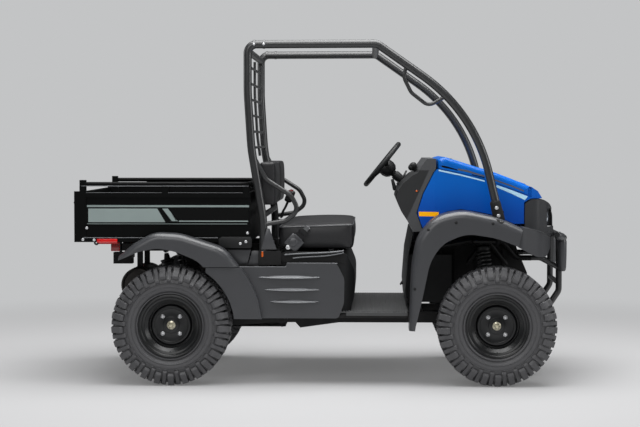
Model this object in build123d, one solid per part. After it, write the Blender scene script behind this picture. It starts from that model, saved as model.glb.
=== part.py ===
"""Two-seat side-by-side utility vehicle with a tipping cargo bed and a tubular roll cage.

Frame: +X forward, +Y to the vehicle's left, +Z up, millimetres. The origin is on the ground, under the
middle of the vehicle's bounding box. Each piece is written as one STEP file; like pieces of one body
share it.
"""
from build123d import *
import math
import os

# ---------------------------------------------------------------- driving dimensions
OVERALL_LENGTH = 2670
OVERALL_WIDTH = 1336
FRONT_OVERHANG = 408     # from the front axle to the guard
REAR_OVERHANG = 524      # from the rear axle to the tailgate
REAR_END_X = -OVERALL_LENGTH / 2
FRONT_END_X = OVERALL_LENGTH / 2
REAR_AXLE_X = REAR_END_X + REAR_OVERHANG
FRONT_AXLE_X = FRONT_END_X - FRONT_OVERHANG
HALF_WIDTH = OVERALL_WIDTH / 2

SEAT_GAP = 0.3           # between a piece and the curved face it seats on
RUNNING_GAP = 0.06       # in radius, at pins and shafts
MOVE_GAP = 5             # beside pieces that move
PANEL_GAP = 3            # seams between body panels
PANEL = 5                # thickness of moulded panels

# wheels
TYRE_RADIUS = 318        # to the tips of the lugs
LUG_HEIGHT = 13
LUG_LENGTH = 38
LUG_PITCHES = 19
RIM_RADIUS = 152         # bead seat
FLANGE_RADIUS = 167
FRONT_TYRE_WIDTH = 204
REAR_TYRE_WIDTH = 250
FRONT_RIM_WIDTH = 156
REAR_RIM_WIDTH = 204
RIM_SHEET = 4
AXLE_Z = TYRE_RADIUS
FRONT_WHEEL_Y = HALF_WIDTH - FRONT_TYRE_WIDTH / 2
REAR_WHEEL_Y = HALF_WIDTH - REAR_TYRE_WIDTH / 2
DISC_OUT = 92            # half width of the vehicle less the wheel discs' place
HUB_RADIUS = 42
HUB_DEPTH = 70
SPINDLE_RADIUS = 18
NUT_RADIUS = 20

# lower frame and floor
FLOOR_Z = 389            # top of the footwell floor
FLOOR_PLATE = 3
FLOOR_REAR_X = REAR_AXLE_X + 892
FLOOR_FRONT_X = FRONT_AXLE_X - 457
FLOOR_HALF_WIDTH = HALF_WIDTH - 56
SILL_DIAMETER = 28
SILL_Y = HALF_WIDTH - 88
RAIL_WIDTH = 40
RAIL_HEIGHT = 60
RAIL_Y = 230
CROSS_HEIGHT = 26        # of the cross tubes between the lower rails and the floor
RAIL_TOP_Z = FLOOR_Z - FLOOR_PLATE - CROSS_HEIGHT
RAIL_REAR_X = REAR_AXLE_X + 211
RAIL_FRONT_X = FRONT_AXLE_X + 110
SWING_PIVOT_X = REAR_AXLE_X + 580
SWING_PIVOT_Z = RAIL_TOP_Z - 28
SHAFT_Z = RAIL_TOP_Z - RAIL_HEIGHT / 2
SHAFT_DIAMETER = 28

# upper rear frame
UPPER_RAIL_TOP_Z = 735
UPPER_RAIL_SIZE = 40
UPPER_RAIL_FRONT_X = REAR_AXLE_X + 521
CAGE_BAR_Z = 660         # top of the bar that carries the cage and the side covers

# cargo bed
BED_HALF_WIDTH = HALF_WIDTH - 88
BED_BEAD = 8             # how far the formed bands stand out
BED_SHEET = 22
BED_FRONT_X = REAR_AXLE_X + 425
BED_REAR_X = REAR_END_X + 5
BED_FLOOR_Z = 789        # underside of the bed's floor
BED_WALL_BOTTOM_Z = 762
BED_WALL_TOP_Z = 1026
BED_RAIL_Z = 1073
BED_RAIL_DIAMETER = 22
BED_POST = 34
TAILGATE_HINGE_X = REAR_END_X + 18
TAILGATE_HINGE_Z = 773
BED_HINGE_X = REAR_AXLE_X - 292
BED_HINGE_Z = UPPER_RAIL_TOP_Z + 16
HINGE_PIN = 16

# roll cage
CAGE_TUBE = 44
CAGE_HALF_WIDTH = HALF_WIDTH - 108
CAGE_TOP_Z = 1817        # centre of the roof tubes
CAGE_POST_X = REAR_AXLE_X + 493       # centre of the rear posts at their feet
CAGE_REAR_X = REAR_AXLE_X + 410
CAGE_SPLIT_X = CAGE_REAR_X + 61
CAGE_FRONT_X = FRONT_AXLE_X - 639
CAGE_BEND_Z = CAGE_TOP_Z - 257  # where the rear posts turn upright
CAGE_KNEE_Z = CAGE_TOP_Z - 362  # where the front legs turn down
CAGE_FOOT_X = FRONT_AXLE_X + 17
CAGE_FOOT_Z = 882
BAR_TUBE = 25

# seats
SEAT_HALF_WIDTH = HALF_WIDTH - 163
SEAT_FRONT_X = REAR_AXLE_X + 961
SEAT_REAR_X = REAR_AXLE_X + 585
SEAT_BOTTOM_Z = 722
SEAT_TOP_Z = 866
BACKREST_BAR_X = REAR_AXLE_X + 449
BACKREST_BOTTOM_Z = 955
BACKREST_TOP_Z = 1194

# steering
STEERING_Y = 280
STEERING_CENTRE = (FRONT_AXLE_X - 604, STEERING_Y, 1169)
STEERING_TILT = 39       # column axis above the horizontal, degrees
STEERING_RIM_RADIUS = 149
STEERING_RIM_TUBE = 26
COLUMN_DIAMETER = 40
RACK_X = FRONT_AXLE_X - 115
RACK_Z = 385
RACK_DIAMETER = 24
RACK_HALF_LENGTH = HALF_WIDTH - 238
KINGPIN_LOW = (FRONT_AXLE_X + 3, HALF_WIDTH - 190, 200)
KINGPIN_HIGH = (FRONT_AXLE_X - 66, HALF_WIDTH - 289, 735)
STRUT_DIAMETER = 40
SPRING_DIAMETER = 80
BALL_RADIUS = 17

# body panels
SIDE_COVER_Y = HALF_WIDTH - 62
FLARE_Y = HALF_WIDTH - 6
SEAM_Z = 634             # seam between the rear fender and the side cover
NOSE_REAR_Y = HALF_WIDTH - 182        # half width of the painted cowl at the dashboard
NOSE_FRONT_Y = HALF_WIDTH - 248       # half width at the headlamps
NOSE_FRONT_X = FRONT_AXLE_X + 197
FASCIA_X = FRONT_AXLE_X + 161          # rear edge of the fascia
FENDER_ROUND = 40        # rounding of the flares' outer edges


# ---------------------------------------------------------------- helpers
def block(x0, x1, y0, y1, z0, z1):
    """Box between two corners."""
    centre = ((x0 + x1) / 2, (y0 + y1) / 2, (z0 + z1) / 2)
    return Pos(*centre) * Box(abs(x1 - x0), abs(y1 - y0), abs(z1 - z0))


def outline_face(points, radius=0):
    """Closed outline, with its corners rounded by one radius or by a list of them."""
    if radius == 0:
        return make_face(Polyline(*points, close=True))
    return make_face(FilletPolyline(*points, radius=radius, close=True))


def side_slab(points, y0, y1, radius=0):
    """A side-view outline of (x, z) points as a slab from y0 to y1."""
    low, high = min(y0, y1), max(y0, y1)
    face = Plane.XZ.offset(-high) * outline_face(points, radius)
    return extrude(face, amount=high - low)


def plan_slab(points, z0, z1, radius=0):
    """A plan-view outline of (x, y) points as a slab from z0 to z1."""
    return extrude(Pos(0, 0, z0) * outline_face(points, radius), amount=z1 - z0)


def rod(start, end, diameter):
    """Round bar between two points."""
    run = Vector(*end) - Vector(*start)
    place = Plane(origin=start, z_dir=run)
    return place * Cylinder(diameter / 2, run.length, align=(Align.CENTER, Align.CENTER, Align.MIN))


def bent_tube(points, diameter, bend):
    """Round bar along straight runs joined by bends."""
    path = FilletPolyline(*points, radius=bend)
    section = Plane(origin=path @ 0, z_dir=path % 0) * Circle(diameter / 2)
    return sweep(section, path=path)


def both(solid):
    """A solid on one side together with its mirror image."""
    return solid + mirror(solid, about=Plane.XZ)


def turned(section, centre):
    """A closed (axial, radius) outline revolved about an axis along Y through centre."""
    face = Plane.YZ * outline_face(section)
    return Pos(*centre) * revolve(face, axis=Axis.Y)


def from_front(points):
    """Points whose x is given from the front axle."""
    return [(FRONT_AXLE_X + point[0],) + point[1:] for point in points]


def from_rear(points):
    """Points whose x is given from the rear axle."""
    return [(REAR_AXLE_X + point[0],) + point[1:] for point in points]


pieces = {}


def keep(name, *solids):
    """Registers one named piece; solids that meet are fused."""
    shape = solids[0]
    for solid in solids[1:]:
        shape = shape + solid
    pieces[name] = shape


# ---------------------------------------------------------------- lower frame
def frame_lower():
    rail_z0 = RAIL_TOP_Z - RAIL_HEIGHT
    inner = RAIL_Y - RAIL_WIDTH / 2
    rail = block(RAIL_REAR_X, RAIL_FRONT_X, inner, inner + RAIL_WIDTH, rail_z0, RAIL_TOP_Z)
    frame = both(rail)
    # cross tubes between the rails, bored for the drive shaft
    cross_tubes_x = (RAIL_REAR_X + 20, SWING_PIVOT_X - 150, FLOOR_REAR_X - 120, FLOOR_FRONT_X + 60,
                     RAIL_FRONT_X - 20)
    for x in cross_tubes_x:
        frame += block(x - 20, x + 20, -inner, inner, rail_z0 + 10, RAIL_TOP_Z - 10)
    frame -= rod((FLOOR_REAR_X - 200, 0, SHAFT_Z), (FLOOR_FRONT_X + 100, 0, SHAFT_Z), SHAFT_DIAMETER + 10)
    # outriggers under the floor, with pads for the side covers, and the sill tubes they carry
    sill_z = RAIL_TOP_Z + SILL_DIAMETER / 2 - 2
    pad_y = SIDE_COVER_Y - PANEL - SEAT_GAP
    for x, reach in ((FLOOR_REAR_X - 30, pad_y), (FLOOR_REAR_X + 24, SILL_Y), (FLOOR_FRONT_X - 50, SILL_Y)):
        frame += block(x - 13, x + 13, -reach, reach, RAIL_TOP_Z, RAIL_TOP_Z + CROSS_HEIGHT)
    frame += both(rod((FLOOR_REAR_X - 42, SILL_Y, sill_z - 0.5), (FLOOR_FRONT_X - 24, SILL_Y, sill_z - 0.5),
                      SILL_DIAMETER - 3))
    # swing-arm pivot tube
    frame += both(rod((SWING_PIVOT_X, inner + 4, SWING_PIVOT_Z), (SWING_PIVOT_X, 356, SWING_PIVOT_Z), 34))
    # belly skid, folded down between its ends
    skid = [(SWING_PIVOT_X + 70, rail_z0), (SWING_PIVOT_X + 98, rail_z0 - 30), (FLOOR_REAR_X, rail_z0)]
    frame += both(side_slab(skid, inner, inner + RAIL_WIDTH))
    keep("frame_lower", frame)


# ---------------------------------------------------------------- front frame
TOWER_TOP_Z = KINGPIN_HIGH[2] + 22
GUARD_LINK_Y = RAIL_Y + 20
GUARD_LINK_Z = 660


def frame_front():
    top_x = KINGPIN_HIGH[0] + 30
    tower = None
    for leg_x in (FRONT_AXLE_X - 150, FRONT_AXLE_X + 90):
        head_x = top_x + (leg_x - top_x) * 0.1
        run = [(leg_x, RAIL_Y, RAIL_TOP_Z), (leg_x, RAIL_Y, 610), (head_x, 300, TOWER_TOP_Z - 4)]
        leg = both(bent_tube(run, 28, 60))
        tower = leg if tower is None else tower + leg
        tower += rod((leg_x, -RAIL_Y, 622), (leg_x, RAIL_Y, 622), 24)
    tower += both(block(top_x - 80, top_x + 40, 280, KINGPIN_HIGH[1] + 46, TOWER_TOP_Z - 6, TOWER_TOP_Z + 6))
    tower += rod((top_x, -296, TOWER_TOP_Z), (top_x, 296, TOWER_TOP_Z), 26)
    # seats for the tops of the struts, square to them
    low, high = Vector(*KINGPIN_LOW), Vector(*KINGPIN_HIGH)
    along = (high - low).normalized()
    tower += both(rod(high, high + along * 20, SPRING_DIAMETER + 4))
    # upper rails: back to the dashboard and forward to the guard
    rail_end = FRONT_AXLE_X + 213
    rail = [(FRONT_AXLE_X - 432, 300, 700), (top_x - 90, 300, TOWER_TOP_Z), (top_x + 90, 290, TOWER_TOP_Z),
            (rail_end - 80, GUARD_LINK_Y, GUARD_LINK_Z), (rail_end, GUARD_LINK_Y, GUARD_LINK_Z)]
    tower += both(bent_tube(rail, 30, [80, 60, 60]))
    # outriggers for the feet of the cage
    foot_y = CAGE_HALF_WIDTH - CAGE_TUBE / 2 - SEAT_GAP
    tower += both(rod((CAGE_FOOT_X, 278, TOWER_TOP_Z - 22), (CAGE_FOOT_X, foot_y - 8, 842), 34))
    tower += both(block(CAGE_FOOT_X - 22, CAGE_FOOT_X + 22, foot_y - 10, foot_y, 822, 930))
    keep("frame_front", tower)


# ---------------------------------------------------------------- rear upper frame
def frame_rear():
    z1 = UPPER_RAIL_TOP_Z
    z0 = z1 - UPPER_RAIL_SIZE
    inner = RAIL_Y - UPPER_RAIL_SIZE / 2
    outer = inner + UPPER_RAIL_SIZE
    rear_x = BED_HINGE_X - 24
    front_x = UPPER_RAIL_FRONT_X
    half = block(rear_x, front_x, inner, outer, z0, z1)
    half += block(front_x - 40, front_x, inner, outer, RAIL_TOP_Z, z0)
    brace = [(RAIL_REAR_X, RAIL_TOP_Z), (RAIL_REAR_X + 40, RAIL_TOP_Z), (REAR_AXLE_X + 60, z0),
             (REAR_AXLE_X + 10, z0)]
    half += side_slab(brace, inner + 8, outer - 8)
    # ear of the bed hinge
    x, z = BED_HINGE_X, BED_HINGE_Z
    ear = [(x - 22, z1 - 4), (x + 22, z1 - 4), (x + 14, z + 14), (x - 14, z + 14)]
    half += side_slab(ear, inner, inner + 10)
    half -= rod((x, inner - 20, z), (x, inner + 30, z), HINGE_PIN + 2 * RUNNING_GAP)
    # plate that the rear fender's liner is screwed to
    half += block(REAR_AXLE_X - 80, REAR_AXLE_X - 50, outer - 1, LINER_INNER_Y - SEAT_GAP, z1 - 28, z1 - 4)
    frame = both(half)
    for cross_x in (rear_x + 15, REAR_AXLE_X - 225, REAR_AXLE_X + 250, front_x - 20):
        frame += block(cross_x - 15, cross_x + 15, -inner, inner, z0 + 4, z1 - 4)
    # cross tube for the tops of the rear shocks
    reach = SHOCK_Y + 28
    frame += rod((REAR_AXLE_X - 52, -reach, SHOCK_TOP_Z), (REAR_AXLE_X - 52, reach, SHOCK_TOP_Z), 26)
    # bar that carries the cage, the side covers and the seat
    reach = CAGE_HALF_WIDTH + CAGE_TUBE / 2
    frame += block(CAGE_POST_X - 24, front_x, -reach, reach, SEAM_Z - PANEL_GAP + SEAT_GAP, CAGE_BAR_Z)
    # hangers of the muffler, and the hitch receiver under the rear cross tube
    hanger_z = MUFFLER_Z + MUFFLER_RADIUS + SEAT_GAP
    for y in (-150, 150):
        frame += block(MUFFLER_X - 15, MUFFLER_X + 15, y - 12, y + 12, hanger_z, z0 + 5)
    frame += block(rear_x, rear_x + 30, -70, 70, HITCH_Z, z0 + 5)
    hitch = block(HITCH_END_X, rear_x + 30, -32, 32, HITCH_Z - 32, HITCH_Z + 32)
    hitch -= block(HITCH_END_X - 1, rear_x - 20, -26, 26, HITCH_Z - 26, HITCH_Z + 26)
    hitch -= rod((HITCH_PIN_X, -40, HITCH_Z), (HITCH_PIN_X, 40, HITCH_Z), HITCH_PIN)
    frame += hitch
    keep("frame_rear", frame)


SHOCK_Y = HALF_WIDTH - 298
SHOCK_TOP_Z = UPPER_RAIL_TOP_Z - UPPER_RAIL_SIZE + 12
LINER_INNER_Y = HALF_WIDTH - 263
MUFFLER_X = REAR_AXLE_X - 225
MUFFLER_Z = 501
MUFFLER_RADIUS = 97
HITCH_Z = 640
HITCH_END_X = REAR_END_X + 130
HITCH_PIN_X = HITCH_END_X + 30
HITCH_PIN = 16


# ---------------------------------------------------------------- floor, toe board, seat riser
def floor_plate():
    z0 = FLOOR_Z - FLOOR_PLATE
    w = FLOOR_HALF_WIDTH
    narrow = SILL_Y + 14
    front = FRONT_AXLE_X - 475        # where the front fenders stand
    floor = block(FLOOR_REAR_X, FLOOR_FRONT_X, -NOSE_REAR_Y + 2, NOSE_REAR_Y - 2, z0, FLOOR_Z)
    floor += block(FLOOR_REAR_X, front, -narrow, narrow, z0, FLOOR_Z)
    floor += block(RISER_FRONT_X - 45, front, -w, w, z0, FLOOR_Z)
    floor += both(block(RISER_FRONT_X - 45, front, w - FLOOR_PLATE, w, FLOOR_Z - 16, FLOOR_Z))
    rib_pitch = 28
    first = RISER_FRONT_X + 14
    for i in range(int((front - 20 - first) / rib_pitch)):
        x = first + i * rib_pitch
        floor += block(x, x + 8, -w + 40, w - 40, FLOOR_Z, FLOOR_Z + 2)
    keep("floor_plate", floor)


TOE_LINE = from_front([(-467, FLOOR_Z), (-480, 416), (-487, 499), (-473, 688), (-449, 812)])


def toe_board():
    back = [(x + PANEL, z) for x, z in TOE_LINE]
    half = NOSE_REAR_Y - PANEL_GAP
    board = side_slab(TOE_LINE + back[::-1], -half, half)
    # splash panels beside the front frame
    rear = FLOOR_FRONT_X - 12
    board += both(block(rear, rear + 242, 306, 311, 420, 680))
    board += both(block(rear - 8, rear + 4, 290, 320, 440, 660))
    keep("toe_board", board)


RISER_FRONT_X = SEAT_FRONT_X + 21
RISER_HALF = SEAT_HALF_WIDTH + 55
RISER_TOP_Z = 700


def seat_riser():
    """Panel under the seat: front rolled under the cushion, sides rounded, open at the back."""
    def shell(inset):
        front = RISER_FRONT_X - inset
        top = RISER_TOP_Z - inset
        side = [(SEAT_REAR_X - 9, FLOOR_Z), (front - 24, FLOOR_Z), (front, 480), (front, 600),
                (front - 44, top),
                (SEAT_REAR_X - 9, top)]
        half = RISER_HALF - inset
        body = side_slab(side, -half, half, [0, 0, 200, 120, 30, 0])
        rounded = [(SEAT_REAR_X - 9, -half), (front, -half), (front, half), (SEAT_REAR_X - 9, half)]
        return body & plan_slab(rounded, FLOOR_Z, RISER_TOP_Z, [0, 120 - inset, 120 - inset, 0])
    riser = shell(0) - shell(PANEL)
    # rails that the cushion sits on
    for x in (SEAT_REAR_X + 20, SEAT_FRONT_X - 120):
        riser += block(x, x + 24, -RISER_HALF + 40, RISER_HALF - 40, RISER_TOP_Z - PANEL, SEAT_BOTTOM_Z)
    keep("seat_riser", riser)


# ---------------------------------------------------------------- side covers and fenders
COVER_BOTTOM_Z = 358
COVER_TOP_Z = 653
ARCH_RADIUS = TYRE_RADIUS + 26
RIB_TABLE = (  # rear end x from the rear axle, front end x from the floor, centre z of each pressed rib
    (470, -95, 577),
    (507, -100, 511),
    (538, -100, 450),
)


def side_cover(side):
    """Moulded cover under the seat, with the lower half of the rear flare."""
    y_out = side * SIDE_COVER_Y
    z_top = SEAM_Z - PANEL_GAP
    front, rear, step = FLOOR_REAR_X, REAR_AXLE_X + 211, REAR_AXLE_X + 618
    outline = [(rear, COVER_BOTTOM_Z), (front + 3, COVER_BOTTOM_Z), (front + 33, 440), (front + 35, 570),
               (front - 7, COVER_TOP_Z), (step, COVER_TOP_Z), (step, z_top), (rear, z_top)]
    cover = side_slab(outline, y_out, y_out - side * PANEL, [0, 24, 90, 80, 30, 6, 6, 0])
    # the top edges turn in
    cover += block(step - 137, step - 49, y_out, y_out - side * 52, z_top - PANEL, z_top)
    cover += block(step + 3, front - 41, y_out, y_out - side * 36, COVER_TOP_Z - PANEL, COVER_TOP_Z)

    def flare(inset, y_inner):
        lean = from_rear([(191, COVER_BOTTOM_Z - 1), (489 - inset, COVER_BOTTOM_Z - 1), (463 - inset, 480),
                          (419 - inset, 566), (379 - inset, z_top - inset), (191, z_top - inset)])
        return side_slab(lean, side * (FLARE_Y - 8 - inset), y_inner, [0, 0, 300, 200, 0, 0])
    cover += flare(0, y_out - side * PANEL)
    cover -= flare(PANEL, y_out - side * 90)
    wheel = Pos(REAR_AXLE_X, side * (SIDE_COVER_Y - 46), AXLE_Z) * Rot(90, 0, 0) * Cylinder(ARCH_RADIUS, 400)
    cover -= wheel
    for rib_rear, rib_front, z in RIB_TABLE:
        x0, x1 = REAR_AXLE_X + rib_rear, front + rib_front
        profile = [(x0, z - 5), (x1, z - 5), (x1 - 40, z + 5), (x0 + 40, z + 5)]
        cover += side_slab(profile, y_out + side * 4, y_out - side * 1)
    beyond = side * 2 * HALF_WIDTH
    return cover & block(rear - 100, front + 119, 0, beyond, COVER_BOTTOM_Z, COVER_TOP_Z)


REAR_FENDER_LINE = from_rear([(-339, 636), (-194, 758), (-89, 818), (51, 813), (291, 737),
                              (375, SEAM_Z - 10)])
REAR_FENDER_BENDS = [120, 160, 300, 160]
REAR_ARCH_LINE = from_rear([(-339, 640), (-166, 714), (-69, 734), (31, 716), (151, 666), (251, 550)])
REAR_ARCH_BENDS = [200, 160, 300, 160]


def rear_fender(side):
    """Upper half of the rear flare, with the liner over the tyre."""
    y_out = side * FLARE_Y
    y_in = side * (BED_HALF_WIDTH + BED_BEAD + MOVE_GAP)

    def flare(inset, outer, inner):
        line = [(x, z - inset) for x, z in REAR_FENDER_LINE]
        start, end = line[0][0], line[-1][0] - inset
        line[-1] = (end, line[-1][1])
        body = side_slab(line + [(end, 500), (start, 500)], outer, inner, [0] + REAR_FENDER_BENDS + [0, 0, 0])
        rim = [e for e in body.edges() if abs(e.center().Y - outer) < 0.01 and e.center().Z > 640
               and e.center().X > start + 1]
        return fillet(rim, FENDER_ROUND - inset)
    liner_y = side * LINER_INNER_Y
    beyond = side * 2 * HALF_WIDTH
    arch_points = REAR_ARCH_LINE + from_rear([(251, 300), (-339, 300)])
    arch = side_slab(arch_points, liner_y, beyond, [0] + REAR_ARCH_BENDS + [0, 0, 0])
    above = [(x, z + 4) for x, z in REAR_ARCH_LINE[:-1]] + from_rear([(255, 554), (255, 300), (-339, 300)])
    liner = side_slab(above, liner_y, y_out - side * 20, [0] + REAR_ARCH_BENDS + [0, 0, 0])
    liner &= block(REAR_AXLE_X - 251, REAR_AXLE_X + 211, liner_y, beyond, SEAM_Z, 760)
    skin = flare(0, y_out, y_in) - flare(PANEL, y_out - side * PANEL, y_in + side * PANEL)
    fender = skin + liner - arch
    fender -= block(REAR_AXLE_X - 389, REAR_AXLE_X - 275, 0, beyond, 300, 1000)
    fender &= block(REAR_AXLE_X - 389, REAR_AXLE_X + 411, 0, beyond, SEAM_Z, 1000)
    return fender


FRONT_FENDER_LINE = from_front([(-471, 296), (-455, 640), (-427, 790), (-337, 905), (-187, 938), (3, 898),
                                (193, 812)])
FRONT_FENDER_BENDS = [900, 200, 180, 300, 500]
FRONT_ARCH_LINE = from_front([(-438, 296), (-400, 457), (-356, 671), (-287, 762), (-167, 814), (-10, 790),
                              (109, 744)])
FRONT_ARCH_BENDS = [500, 260, 160, 200, 400]
FENDER_SEAM = from_front([(133, 900), (133, 842), (109, 744), (109, 600)])


def front_fender(side):
    """Flared front fender with its long rear leg."""
    y_out = side * FLARE_Y
    inner = side * (NOSE_FRONT_Y - 20)
    beyond = side * 2 * HALF_WIDTH

    def flare(inset, outer):
        rear, front = FRONT_FENDER_LINE[0][0], FRONT_FENDER_LINE[-1][0]
        line = [(rear + inset, 200)]
        line += [(x + inset * 0.8, z - inset * 0.7) for x, z in FRONT_FENDER_LINE[1:-1]]
        line += [(front, FRONT_FENDER_LINE[-1][1] - inset)]
        body = side_slab(line + [(front, 200)], outer, inner, [0] + FRONT_FENDER_BENDS + [0, 0])
        rim = [e for e in body.edges() if abs(e.center().Y - outer) < 0.01 and e.center().Z > 205
               and e.center().X < front - 1]
        return fillet(rim, FENDER_ROUND - inset)
    skin = flare(0, y_out) - flare(PANEL, y_out - side * PANEL)
    below = from_front([(-438, 190), (273, 700), (273, 190)])
    arch = side_slab(below[:1] + FRONT_ARCH_LINE + below[1:], inner - side * 5, beyond,
                     [0, 300] + FRONT_ARCH_BENDS + [0, 0, 0])
    fender = skin - arch - nose_body(SEAT_GAP)
    fender -= block(FRONT_AXLE_X - 527, FRONT_AXLE_X - 367, 0, beyond, 190, 296)
    fender -= side_slab(FENDER_SEAM + from_front([(373, 600), (373, 900)]), 0, beyond)
    # notch round the foot of the cage
    notch_y = CAGE_HALF_WIDTH - CAGE_TUBE / 2 - 18
    notch_end = CAGE_HALF_WIDTH + CAGE_TUBE / 2 + 6
    fender -= block(CAGE_FOOT_X - 28, CAGE_FOOT_X + 28, side * notch_y, side * notch_end, 800, 960)
    return fender


# ---------------------------------------------------------------- nose: cowl, lid, fascia
def nose_body(grow):
    """Tapered plan of the nose, grown or shrunk."""
    rear, front = NOSE_REAR_Y + grow, NOSE_FRONT_Y + grow
    half = from_front([(-547, -rear), (-327, -rear), (197, -front), (373, -front + 70)])
    return plan_slab(half + [(x, -y) for x, y in reversed(half)], 180, 1300)


COWL_LINE = from_front([
    (-422, 917), (-389, 1018), (-332, 1132), (-315, 1153), (-116, 1112), (33, 1062), (197, 998), (197, 1055),
    (233, 1032), (257, 993), (193, 993), (157, 972), (157, 856), (103, 856), (52, 878), (-26, 908),
    (-116, 926),
    (-187, 936), (-260, 925), (-337, 885), (-386, 817)])
COWL_BENDS = [60, 0, 0, 4, 300, 200, 0, 0, 30, 0, 0, 0, 0, 0, 0, 0, 0, 0, 0, 0, 4]


def hood_cowl():
    """Painted sides of the nose, joined by the cap in front of the lid."""
    walls = nose_body(0) - nose_body(-PANEL)
    cowl = side_slab(COWL_LINE, -HALF_WIDTH, HALF_WIDTH, COWL_BENDS) & walls
    cap_line = from_front([(197, 1049), (197, 1055), (233, 1032), (257, 993), (251, 993), (230, 1027)])
    cap = side_slab(cap_line, -HALF_WIDTH, HALF_WIDTH)
    cowl += cap & nose_body(-0.5)
    # lugs and pins of the lid's hinges
    x, z = LID_HINGE
    for y in LID_HINGES_Y:
        for lug in (y - 26, y + 20):
            cowl += block(x - 4, x + 14, lug, lug + 6, z - 8, z)
        cowl += rod((x, y - 24, z), (x, y + 24, z), LID_PIN)
    keep("hood_cowl", cowl)


LID_HINGE = (FRONT_AXLE_X + 188, 1054)
LID_HINGES_Y = (-180, 180)
LID_PIN = 6
LID_TOP = from_front([(-311, 1206), (-272, 1217), (-116, 1168), (3, 1131), (93, 1097), (187, 1058)])
LID_SEAM = from_front([(187, 1009), (33, 1066), (-116, 1116), (-313, 1157)])


def hood_lid():
    outline = LID_TOP + LID_SEAM
    bends = [12, 30, 400, 300, 300, 0, 0, 200, 300, 0]
    outer = side_slab(outline, -HALF_WIDTH, HALF_WIDTH, bends) & nose_body(-0.5)
    lines = side_edges(outer)
    outer = fillet(lines, 28)
    under = from_front([(-305, 1100), (-305, 1200), (-272, 1211), (-116, 1162), (3, 1125), (93, 1091),
                        (182, 1054),
                        (182, 950)])
    bends = [0, 8, 24, 380, 280, 280, 0, 0]
    inner = side_slab(under, -HALF_WIDTH, HALF_WIDTH, bends) & nose_body(-PANEL - 0.5)
    lines = side_edges(inner)
    inner = fillet(lines, 23)
    lid = outer - inner
    x, z = LID_HINGE
    for y in LID_HINGES_Y:
        lid -= block(x - 12, x + 12, y - 30, y + 30, z - 14, z + 30)
        lid += block(x - 30, x - 3, y - 18, y + 18, z - 5, z + 5)
        lid += rod((x, y - 18, z), (x, y + 18, z), 2 * LID_PIN)
        lid -= rod((x, y - 19, z), (x, y + 19, z), LID_PIN + 2 * RUNNING_GAP)
    keep("hood_lid", lid)


def side_edges(lid):
    """The long edges between the lid's top and its sides."""
    edges = [e for e in lid.edges() if abs(e.center().Y) > NOSE_FRONT_Y - 50 and e.length > 40]
    return [e for e in edges if e.center().Z > 1183 - (e.center().X - FRONT_AXLE_X + 313) * 0.302]


GRILLE_SLOTS = 5
GRILLE_PITCH = 30
GRILLE_SLOT = 17
LAMP_INNER_Y, LAMP_OUTER_Y = 236, 372
LAMP_LOW_Z, LAMP_HIGH_Z = 838, 936


def front_fascia():
    """Moulded front end: headlamp bezels and grille above, valance below."""
    def upper(inset):
        side = from_front([(161 + inset, 770), (161 + inset, 966 - inset), (201, 988 - inset),
                           (263, 988 - inset),
                           (311 - inset, 958), (329 - inset, 900), (331 - inset, 800), (313 - inset, 770)])
        body = side_slab(side, -HALF_WIDTH, HALF_WIDTH, [0, 16, 40, 60, 60, 100, 60, 0])
        edge = -NOSE_FRONT_Y - 8 + inset
        half = from_front([(73, edge), (223, edge), (288 - inset, -LAMP_OUTER_Y), (335 - inset, -260)])
        whole = half + [(x, -y) for x, y in reversed(half)]
        return body & plan_slab(whole, 600, 1100, [0, 60, 60, 80, 80, 60, 60, 0])

    def lower(inset):
        side = from_front([(103, 744 + inset), (103, 850 - inset), (173, 838 - inset), (263, 812 - inset),
                           (309 - inset, 780), (305 - inset, 720), (278, 680 + inset), (212, 686 + inset)])
        body = side_slab(side, -HALF_WIDTH, HALF_WIDTH, [0, 0, 200, 120, 30, 30, 30, 60])
        half = from_front([(93, -FLARE_Y + 6 + inset), (133, -FLARE_Y + 12 + inset),
                           (243 - inset, -FLARE_Y + 102), (313 - inset, -330)])
        whole = half + [(x, -y) for x, y in reversed(half)]
        return body & plan_slab(whole, 600, 1100, [0, 60, 160, 120, 120, 160, 60, 0])
    shell = upper(0) + lower(0)
    hollow = upper(PANEL) + lower(PANEL)
    open_back = block(FASCIA_X - 88, FASCIA_X + PANEL + 1, -NOSE_FRONT_Y, NOSE_FRONT_Y, 846, 980)
    front = shell - hollow - open_back
    edge = [(x + SEAT_GAP, z) for x, z in reversed(FENDER_SEAM[1:])]
    behind = edge + [(edge[-1][0], 845.5)] + from_front([(-27, 1000), (-27, 600)])
    front -= side_slab(behind, -HALF_WIDTH, HALF_WIDTH)
    for i in range(GRILLE_SLOTS):
        z = 790 + i * GRILLE_PITCH
        front -= block(FASCIA_X + 112, FRONT_END_X, -200, 200, z, z + GRILLE_SLOT)
    front -= both(block(FASCIA_X + 92, FRONT_END_X, LAMP_INNER_Y, LAMP_OUTER_Y, LAMP_LOW_Z, LAMP_HIGH_Z))
    keep("front_fascia", front)


def headlamps():
    outer, inner = LAMP_OUTER_Y - SEAT_GAP, LAMP_INNER_Y + SEAT_GAP
    half = from_front([(223, -outer), (279, -outer), (319, -262), (319, -inner), (223, -inner)])
    lamp = plan_slab(half, LAMP_LOW_Z + SEAT_GAP, LAMP_HIGH_Z - SEAT_GAP)
    keep("headlamps", both(lamp))


DASH_LINE = from_front([(-321, 1207), (-370, 1207), (-398, 1168), (-416, 1132), (-443, 1120), (-494, 1078),
                        (-524, 1036), (-533, 988), (-506, 922), (-463, 856), (-446, 815)])


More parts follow.
